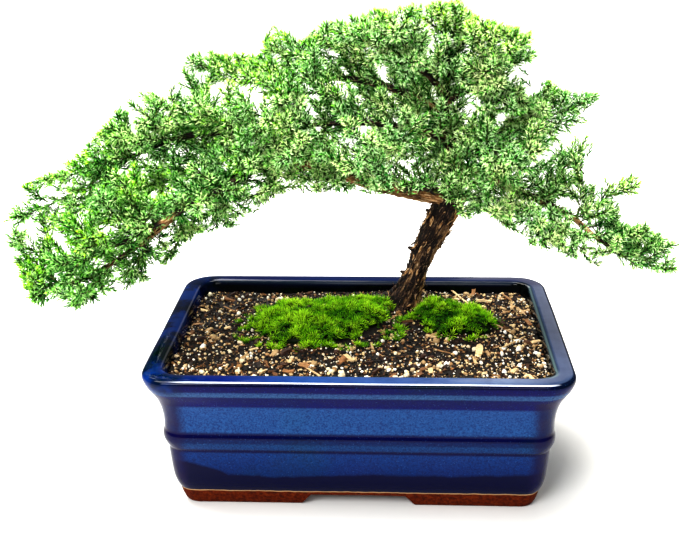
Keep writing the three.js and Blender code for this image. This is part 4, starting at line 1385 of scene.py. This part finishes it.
def buildSprays():
    draw = random.Random(41)
    needle = buildNeedle()
    shoots = [buildShoot(needle, length, draw) for length in shootShape["lengths"]]
    materials = [
        needleMaterial("greenNeedleKeel", [(0.35, "#023a0a"), (0.6, "#1a7424"), (0.95, "#5ca83e")],
                       [(0, "#2a8614"), (0.4, "#68c410"), (0.85, "#acec1c")], 0.4),
        twigMaterial(),
        needleMaterial("bandedNeedleFace", [(0.35, "#349a38"), (0.6, "#84cc60"), (0.95, "#c0f092")],
                       [(0, "#62c62c"), (0.4, "#92e220"), (0.85, "#c8fa34")], 1.0),
    ]
    limbTree = KDTree(sum(len(run) for run in woodRuns.values()))
    limbPlaces = [sample[0] for run in woodRuns.values() for sample in run]
    for index, place in enumerate(limbPlaces):
        limbTree.insert(place, index)
    limbTree.balance()
    sprays = {}
    for name in sorted(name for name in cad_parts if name.startswith("spray_")):
        marks, rows = readSpray(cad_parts[name])
        # the stem is the twig that starts at a limb
        rows.sort(key=lambda row: limbTree.find(row[0])[2])
        stemRow = [limbTree.find(rows[0][0])[0], *rows[0]]
        sprays[name] = (marks, stemRow, rows[1:], [], [])
    limbRows = growLimbTwigs(draw)
    limbShoots = growLimbShoots(draw)
    leaves = [point for marks, *_ in sprays.values() for _, point in marks]
    leaves += [row[-1] for row in limbRows] + [place for place, _, _ in limbShoots]
    limbRows += growFillTwigs(random.Random(57), leaves)
    for which, grown in ((3, limbRows), (4, limbShoots)):
        for item in grown:
            nearest = min(sprays, key=lambda name: (sprays[name][1][0] - item[0]).length)
            sprays[nearest][which].append(item)
    total = 0
    for name, (marks, stemRow, sides, limbRows, limbShoots) in sprays.items():
        spray = buildSpray(marks, stemRow, sides, limbRows, limbShoots, needle, shoots, draw)
        foliage = makePiece(name.replace("spray_", "foliage_"), spray, materials)
        total += len(foliage.data.polygons)
        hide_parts(name)
        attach(foliage, "root")
    print("sprays built,", total, "faces")


# The soil: a filled body with an uneven top, and the crumbs, chips and grains that lie on it.
soilShape = {
    "level": 65.5,  # mm, at the wall
    "reachWall": 0.9,
    "mound": 3.4,
    "moundReach": 46,
    "cells": (112, 68),
    "cornerRadius": 6.5,
    "bottom": 16.4,
    "crumbs": 7400,
    "crumbSize": (0.3, 0.95),  # mm, radius
    "grains": 190,
    "grainSize": (0.7, 1.9),
    "heapedSize": (0.8, 1.5),
    "heapSpread": (2.4, 1.7),  # mm along and across
    "specks": 1500,
    "speckSize": (0.25, 0.75),
    "chips": 420,
    "chipSize": (0.7, 3),
}
# Heaps of white grains: x, y in mm and how many.
grainHeaps = [
    (-54, -31, 7), (-30, -29, 5), (-66, 46, 3), (-45, 45, 3), (26, -34, 6), (36, -38, 7), (14, -40, 5),
    (-72, -4, 4), (-64, -42, 6), (78, 4, 3), (83, -14, 4), (86, -34, 6), (-10, -42, 5),
]
# Long splinters and pale chips: x, y, heading in degrees, length and width in mm, and how pale.
splinters = [
    (52, 49, -10, 24, 1.5, 1), (65, 43, 60, 8, 3, 0.95), (58, -18, -40, 13, 3.4, 0.97),
    (76, -9, -68, 20, 1.4, 0.9), (55, -31, -30, 9, 2.4, 0.9), (-4, -30, 15, 7, 3.4, 0.93),
    (-41, -23, -50, 6, 2.6, 0.86), (6, -14, -25, 8, 2.2, 0.86), (70, 10, 10, 14, 1.2, 0.85),
    (84, 30, -20, 9, 2, 0.9), (40, -20, 30, 9, 1.6, 0.8), (-70, 30, 20, 11, 1.3, 0.8),
    (-20, -44, 12, 9, 1.4, 0.88), (78, 48, 170, 10, 1.8, 0.8), (88, -8, 80, 8, 1.8, 0.95),
]
mossPatches = {"moss_left": "mossLeft", "moss_right": "mossRight"}


def soilHeight(x, y):
    trunkX, trunkY = limbPaths["trunk"][0][2][:2]
    away = math.hypot(x - trunkX, y - trunkY) / soilShape["moundReach"]
    wave = 0.5 * math.sin(x * 0.13 + 1.3) * math.cos(y * 0.17)
    lumps = 0.55 * noise.noise(Vector((x, y, 0)) / 7) + 0.3 * noise.noise(Vector((x, y, 9)) / 2.4)
    return soilShape["level"] + soilShape["mound"] * math.exp(-2 * away * away) + wave + lumps


# Peat mix: dark, damp and matt, with crumbs that range from near black to tan.
def earthMaterial(name, attribute, stops, roughness, grit):
    material = newMaterial(name)
    place = placeOf(material)
    shade = attributeOf(material, attribute)
    base = rampOf(material, shade, stops)
    spots = noiseOf(material, place, grit, 4, 0.7)
    dim = remap(material, spots, 0.3, 0.65, 0.5, 1.1)
    skin = blend(material, 1.0, base, dim, "MULTIPLY")
    bump = addNode(material, "ShaderNodeBump", {"Strength": 0.7, "Distance": 0.0004, "Height": spots})
    return finished(material, {
        "Base Color": skin, "Roughness": roughness, "Normal": bump.outputs[0],
    })


# A lump with few faces: a ball pushed about by noise.
def lumpShape(subdivisions, stretch, rough, seed):
    deselectAll()
    bpy.ops.mesh.primitive_ico_sphere_add(subdivisions=subdivisions, radius=1)
    lump = bpy.context.object
    lump.scale = stretch
    settle(lump, "lump")
    for vertex in lump.data.vertices:
        vertex.co *= 1 + rough * noise.noise(vertex.co * 1.3 + Vector((seed * 3.1, 0, seed)))
    return takeShape(lump)


# A crumb of peat: a block with its corners pushed about.
def crumbShape(seed):
    deselectAll()
    bpy.ops.mesh.primitive_cube_add(size=1.5)
    crumb = bpy.context.object
    for vertex in crumb.data.vertices:
        vertex.co *= 1 + 0.9 * noise.noise(vertex.co * 1.7 + Vector((seed * 2.3, seed, 0)))
    crumb.scale = (1, 0.85, 0.7)
    return takeShape(settle(crumb, "crumb"))


# A splinter of bark: a block bevelled, tapered and split at its ends.
def chipShape(seed):
    draw = random.Random(seed)
    deselectAll()
    bpy.ops.mesh.primitive_cube_add(size=2)
    chip = bpy.context.object
    chip.scale = (1, draw.uniform(0.28, 0.5), draw.uniform(0.12, 0.24))
    settle(chip, "chip")
    bpy.ops.object.mode_set(mode="EDIT")
    bpy.ops.mesh.select_all(action="SELECT")
    bpy.ops.mesh.subdivide(number_cuts=1)
    bpy.ops.object.mode_set(mode="OBJECT")
    for vertex in chip.data.vertices:
        vertex.co *= 1 + 0.35 * noise.noise(vertex.co * 2.2 + Vector((seed, seed, 0)))
        vertex.co.z += 0.12 * math.sin(vertex.co.x * 2 + seed)
    return takeShape(chip)


def scatter(shapes, places, sizes, draw, flatten):
    parts = []
    picks = [draw.randrange(len(shapes)) for _ in places]
    for variant, shape in enumerate(shapes):
        matrices = []
        shades = []
        for place, size, choice in zip(places, sizes, picks):
            if choice != variant:
                continue
            tilt = Vector((draw.uniform(-1, 1) * flatten, draw.uniform(-1, 1) * flatten, 1))
            matrices.append(aim(place, tilt, draw.uniform(0, 6.28), Vector((size, size, size)) * mm))
            shades.append(min(1, draw.random() + 0.16 * smoothStep(10, 90, (place.x - potMiddle.x) / mm)))
        if matrices:
            parts.append(copyShape(shape, matrices, shade=shades))
    return joinShapes(parts)


mossPlaces = [
    (((low + high) / 2 - potMiddle) / mm, (high - low) / 2 / mm)
    for low, high in (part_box(node) for node in mossPatches)
]


def inMoss(x, y):
    return any(
        ((x - middle.x) / half.x) ** 2 + ((y - middle.y) / half.y) ** 2 < 0.72
        for middle, half in mossPlaces
    )


def buildSoil():
    low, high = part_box("soil")
    halfX, halfY = ((high - low) / 2 / mm).xy + Vector((4, 4)) * soilShape["reachWall"]
    deselectAll()
    cellsX, cellsY = soilShape["cells"]
    bpy.ops.mesh.primitive_grid_add(
        x_subdivisions=cellsX, y_subdivisions=cellsY, size=2, location=potMiddle)
    soil = bpy.context.object
    soil.scale = Vector((halfX, halfY, 1)) * mm
    settle(soil, "soilBody")
    corner = soilShape["cornerRadius"]
    for vertex in soil.data.vertices:
        x, y = (vertex.co.x - potMiddle.x) / mm, (vertex.co.y - potMiddle.y) / mm
        overX, overY = abs(x) - (halfX - corner), abs(y) - (halfY - corner)
        if overX > 0 and overY > 0 and math.hypot(overX, overY) > corner:
            pull = corner / math.hypot(overX, overY)
            x = math.copysign(halfX - corner + overX * pull, x)
            y = math.copysign(halfY - corner + overY * pull, y)
        vertex.co = fromPot(x, y, soilHeight(x, y))
    bpy.ops.object.mode_set(mode="EDIT")
    bpy.ops.mesh.select_all(action="SELECT")
    bpy.ops.mesh.remove_doubles(threshold=0.15 * mm)
    bpy.ops.mesh.select_all(action="DESELECT")
    bpy.ops.mesh.select_mode(type="EDGE")
    bpy.ops.mesh.select_non_manifold()
    bpy.ops.mesh.extrude_edges_move(TRANSFORM_OT_translate={"value": (0, 0, 0)})
    bpy.ops.transform.resize(value=(0.96, 0.94, 0), center_override=fromPot(0, 0, soilShape["bottom"]))
    bpy.ops.mesh.edge_face_add()
    bpy.ops.mesh.select_all(action="SELECT")
    bpy.ops.mesh.normals_make_consistent(inside=False)
    bpy.ops.object.mode_set(mode="OBJECT")
    shade = soil.data.attributes.new("shade", "FLOAT", "POINT")
    for index, vertex in enumerate(soil.data.vertices):
        shade.data[index].value = 0.3 + 0.3 * noise.noise(vertex.co / (4 * mm))
    peatStops = [
        (0.05, "#050302"), (0.5, "#180d07"), (0.72, "#442916"), (0.85, "#90643a"), (0.95, "#dcc090"),
    ]
    peat = earthMaterial("dampPeat", "shade", peatStops, 0.85, 0.9)
    soil.data.materials.append(peat)
    bpy.ops.object.shade_smooth()
    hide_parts("soil")
    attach(soil, "root")

    draw = random.Random(23)

    def placesOnSoil(count, lift, skip=True, frontal=0.0):
        places = []
        while len(places) < count:
            x = draw.uniform(-halfX + 1, halfX - 1)
            y = draw.uniform(-halfY + 1, halfY - 1)
            if frontal and draw.random() > (1 - frontal) + frontal * smoothStep(10, -halfY, y):
                continue
            if skip and inMoss(x, y):
                continue
            places.append(fromPot(x, y, soilHeight(x, y) + lift))
        return places

    def sizesFrom(span, count, power=1.8):
        return [span[0] + (span[1] - span[0]) * draw.random() ** power for _ in range(count)]

    crumbs = [crumbShape(i) for i in range(6)]
    count = soilShape["crumbs"]
    crumbPiece = makePiece("soilCrumbs", scatter(
        crumbs, placesOnSoil(count, 0.2), sizesFrom(soilShape["crumbSize"], count), draw, 0.6), [peat])
    grains = [
        lumpShape(2, (1, draw.uniform(0.75, 1), draw.uniform(0.65, 0.9)), 0.55, 20 + i) for i in range(5)
    ]
    count = soilShape["grains"]
    whiteStops = [(0.05, "#8a653a"), (0.35, "#c2a87e"), (0.65, "#e6dac0"), (0.95, "#faf6ec")]
    pumice = earthMaterial("whitePerlite", "shade", whiteStops, 0.8, 0.6)
    long, wide = soilShape["heapSpread"]
    heaped = [
        fromPot(x + across, y + over, soilHeight(x + across, y + over) + 0.7)
        for x, y, number in grainHeaps
        for across, over in ((draw.gauss(0, long), draw.gauss(0, wide)) for _ in range(number))
    ]
    places = placesOnSoil(count, 0.5, frontal=0.5) + heaped
    sizes = sizesFrom(soilShape["grainSize"], count, 2.4) + sizesFrom(soilShape["heapedSize"], len(heaped))
    large = scatter(grains, places, sizes, draw, 0.6)
    specks = [lumpShape(1, (1, 0.9, 0.75), 0.7, 40 + i) for i in range(4)]
    count = soilShape["specks"]
    small = scatter(specks, placesOnSoil(count, 0.7, frontal=0.4),
                    sizesFrom(soilShape["speckSize"], count), draw, 0.6)
    grainPiece = makePiece("perliteGrains", joinShapes([large, small]), [pumice], smooth=True)
    chips = [chipShape(i) for i in range(6)]
    count = soilShape["chips"]
    woodStops = [(0.05, "#1e100a"), (0.5, "#46291a"), (0.78, "#8a6038"), (0.97, "#e8cc9c")]
    barkChip = earthMaterial("pineBarkChip", "shade", woodStops, 0.75, 1.4)
    places = placesOnSoil(count, 0.5, frontal=0.4)
    strewn = scatter(chips, places, sizesFrom(soilShape["chipSize"], count, 2.6), draw, 0.35)
    laid = [
        copyShape(chips[index % len(chips)], [aim(
            fromPot(x, y, soilHeight(x, y) + 0.8), (0.08, 0.05, 1), math.radians(degrees),
            Vector((length / 2, width * 0.9, width * 0.8)) * mm)], shade=[pale])
        for index, (x, y, degrees, length, width, pale) in enumerate(splinters)
    ]
    chipPiece = makePiece("barkChips", joinShapes([strewn, *laid]), [barkChip])
    for piece in (crumbPiece, grainPiece, chipPiece):
        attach(piece, "root")
        print(piece.name, "built,", len(piece.data.polygons), "faces")


mossShape = {
    "tuftGap": 1.4,  # mm between tufts
    "leaves": 10,
    "leafLength": 2.7,
    "leafWidth": 0.62,
    "relief": 7,  # mm across a cushion
    "skin": (0.9, 0.72),  # the bare cushion under the tufts, as a share of its width and height
    "strayReach": 5,  # mm that stray tufts grow past the edge
}


# Living moss: soft star-shaped tips, yellow-green in the light, painted nearly black between the stems as
# painted shade, and paler on the raised tufts as painted light.
def mossMaterial():
    material = newMaterial("livingMoss")
    along = attributeOf(material, "along")
    shade = attributeOf(material, "shade")
    place = placeOf(material)
    drift = noiseOf(material, place, 11, 2)
    tip = maths(material, "ADD", drift, shade)
    tips = rampOf(material, tip, [
        (0.3, "#38800a"), (0.6, "#78c010"), (0.9, "#bcec38"),
    ])
    # painted shade: each leaf darkens to nearly black at its foot
    rise = remap(material, along, 0.15, 0.7)
    leaf = blend(material, rise, colour("#0c1e03"), tips)
    return finished(material, {
        "Base Color": leaf, "Roughness": 0.6, "Specular IOR Level": 0.2,
    })


def buildTuft(draw):
    length = mossShape["leafLength"] * mm
    deselectAll()
    bpy.ops.mesh.primitive_cone_add(vertices=3, radius1=mossShape["leafWidth"] * mm / 2, radius2=0,
                                    depth=length, location=(0, 0, length / 2))
    leaf = bpy.context.object
    leaf.scale = (1, 0.5, 1)
    leaf = takeShape(settle(leaf, "mossLeaf"))
    leaf["along"] = leaf["points"][:, 2] / length
    matrices = []
    for i in range(mossShape["leaves"]):
        turn = i * leafTurn + draw.uniform(-0.3, 0.3)
        lean = 0.25 + 0.85 * (1 - i / mossShape["leaves"]) * draw.uniform(0.8, 1.2)
        direction = (math.cos(turn) * math.sin(lean), math.sin(turn) * math.sin(lean), math.cos(lean))
        size = draw.uniform(0.75, 1.15)
        foot = Vector((0, 0, 0.25 * i / mossShape["leaves"])) * mm
        matrices.append(aim(foot, direction, draw.uniform(0, 6), (size, size, size)))
    return copyShape(leaf, matrices)


def buildMoss():
    draw = random.Random(77)
    tufts = [buildTuft(draw) for _ in range(5)]
    material = mossMaterial()
    for node, pieceName in mossPatches.items():
        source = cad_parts[node]
        pad = bpy.data.objects.new(pieceName + "Pad", source.data.copy())
        bpy.context.collection.objects.link(pad)
        pick(pad)
        bpy.ops.object.mode_set(mode="EDIT")
        bpy.ops.mesh.select_all(action="SELECT")
        bpy.ops.mesh.remove_doubles(threshold=0.001 * mm)
        bpy.ops.object.mode_set(mode="OBJECT")
        tree = BVHTree.FromObject(pad, bpy.context.evaluated_depsgraph_get())
        low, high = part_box(node)
        places = []
        gap = mossShape["tuftGap"] * mm
        cells = {}
        middle, half = (low + high) / 2, (high - low) / 2
        stray = mossShape["strayReach"] * mm
        tries = int((high.x - low.x) * (high.y - low.y) / (gap * gap) * 12)
        for _ in range(tries):
            x, y = draw.uniform(low.x - stray, high.x + stray), draw.uniform(low.y - stray, high.y + stray)
            hit, normal, *_ = tree.ray_cast(Vector((x, y, high.z + 0.01)), Vector((0, 0, -1)))
            clump = noise.noise(Vector((x, y, 0)) / (6 * mm))
            within = ((x - middle.x) / half.x) ** 2 + ((y - middle.y) / half.y) ** 2
            if hit is None or hit.z < low.z + 0.5 * mm:
                # past the edge only some tufts grow, on the soil
                if within > 1.6 or clump < 0.16:
                    continue
                fromX, fromY = (x - potMiddle.x) / mm, (y - potMiddle.y) / mm
                hit, normal = fromPot(fromX, fromY, soilHeight(fromX, fromY) + 0.4), Vector((0, 0, 1))
            elif within > 0.8 and clump < -0.1:
                continue
            cell = (int(x / gap), int(y / gap))
            close = [other for i in (-1, 0, 1) for j in (-1, 0, 1)
                     for other in cells.get((cell[0] + i, cell[1] + j), ())]
            if any((hit - other[0]).length < gap for other in close):
                continue
            cells.setdefault(cell, []).append((hit, normal))
            places.append((hit, normal))
        shape = takeShape(pad)
        # the cushion under the tufts takes the leaves' dark foot colour: painted shade
        shape["along"] = np.zeros(len(shape["points"]))
        shape["shade"] = np.zeros(len(shape["points"]))
        wide, tall = mossShape["skin"]
        base = np.array((middle.x, middle.y, low.z))
        shape["points"] = base + (shape["points"] - base) * (wide, wide, tall)
        parts = [shape]
        picks = [draw.randrange(len(tufts)) for _ in places]
        for variant, tuft in enumerate(tufts):
            matrices, shades = [], []
            for (hit, normal), choice in zip(places, picks):
                if choice != variant:
                    continue
                outward = Vector((hit.x - middle.x, hit.y - middle.y, 0)) * 6
                direction = (normal * 0.5 + Vector((0, 0, 0.7)) + outward
                             + Vector((draw.uniform(-0.3, 0.3), draw.uniform(-0.3, 0.3), 0)))
                swell = noise.noise(hit / (mossShape["relief"] * mm))
                size = draw.uniform(0.8, 1.2) * (1 + 0.7 * swell)
                foot = hit + Vector((0, 0, 1.6 * swell - 0.5)) * mm
                matrices.append(aim(foot, direction, draw.uniform(0, 6), (size, size, size)))
                # the raised tufts are paler: painted light
                shades.append(draw.uniform(0, 0.35) + 0.4 * swell)
            parts.append(copyShape(tuft, matrices, shade=shades))
        moss = makePiece(pieceName, joinShapes(parts), [material])
        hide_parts(node)
        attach(moss, "root")
        print(pieceName, "built,", len(moss.data.polygons), "faces")


# Woven plastic mesh over the drain holes: dull and dark.
def finishScreens():
    material = newMaterial("blackPlasticMesh")
    place = placeOf(material)
    dust = noiseOf(material, place, 1.2, 3)
    skin = rampOf(material, dust, [
        (0.4, "#16191a"), (0.7, "#3b342c"),
    ])
    finished(material, {"Base Color": skin, "Roughness": 0.55})
    for name in ("drain_screen_left", "drain_screen_right"):
        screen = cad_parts[name]
        screen.data.materials.clear()
        screen.data.materials.append(material)


buildCamera()
buildStudio()
print("camera and studio set")
buildPot()
buildWood()
buildSprays()
buildSoil()
buildMoss()
finishScreens()
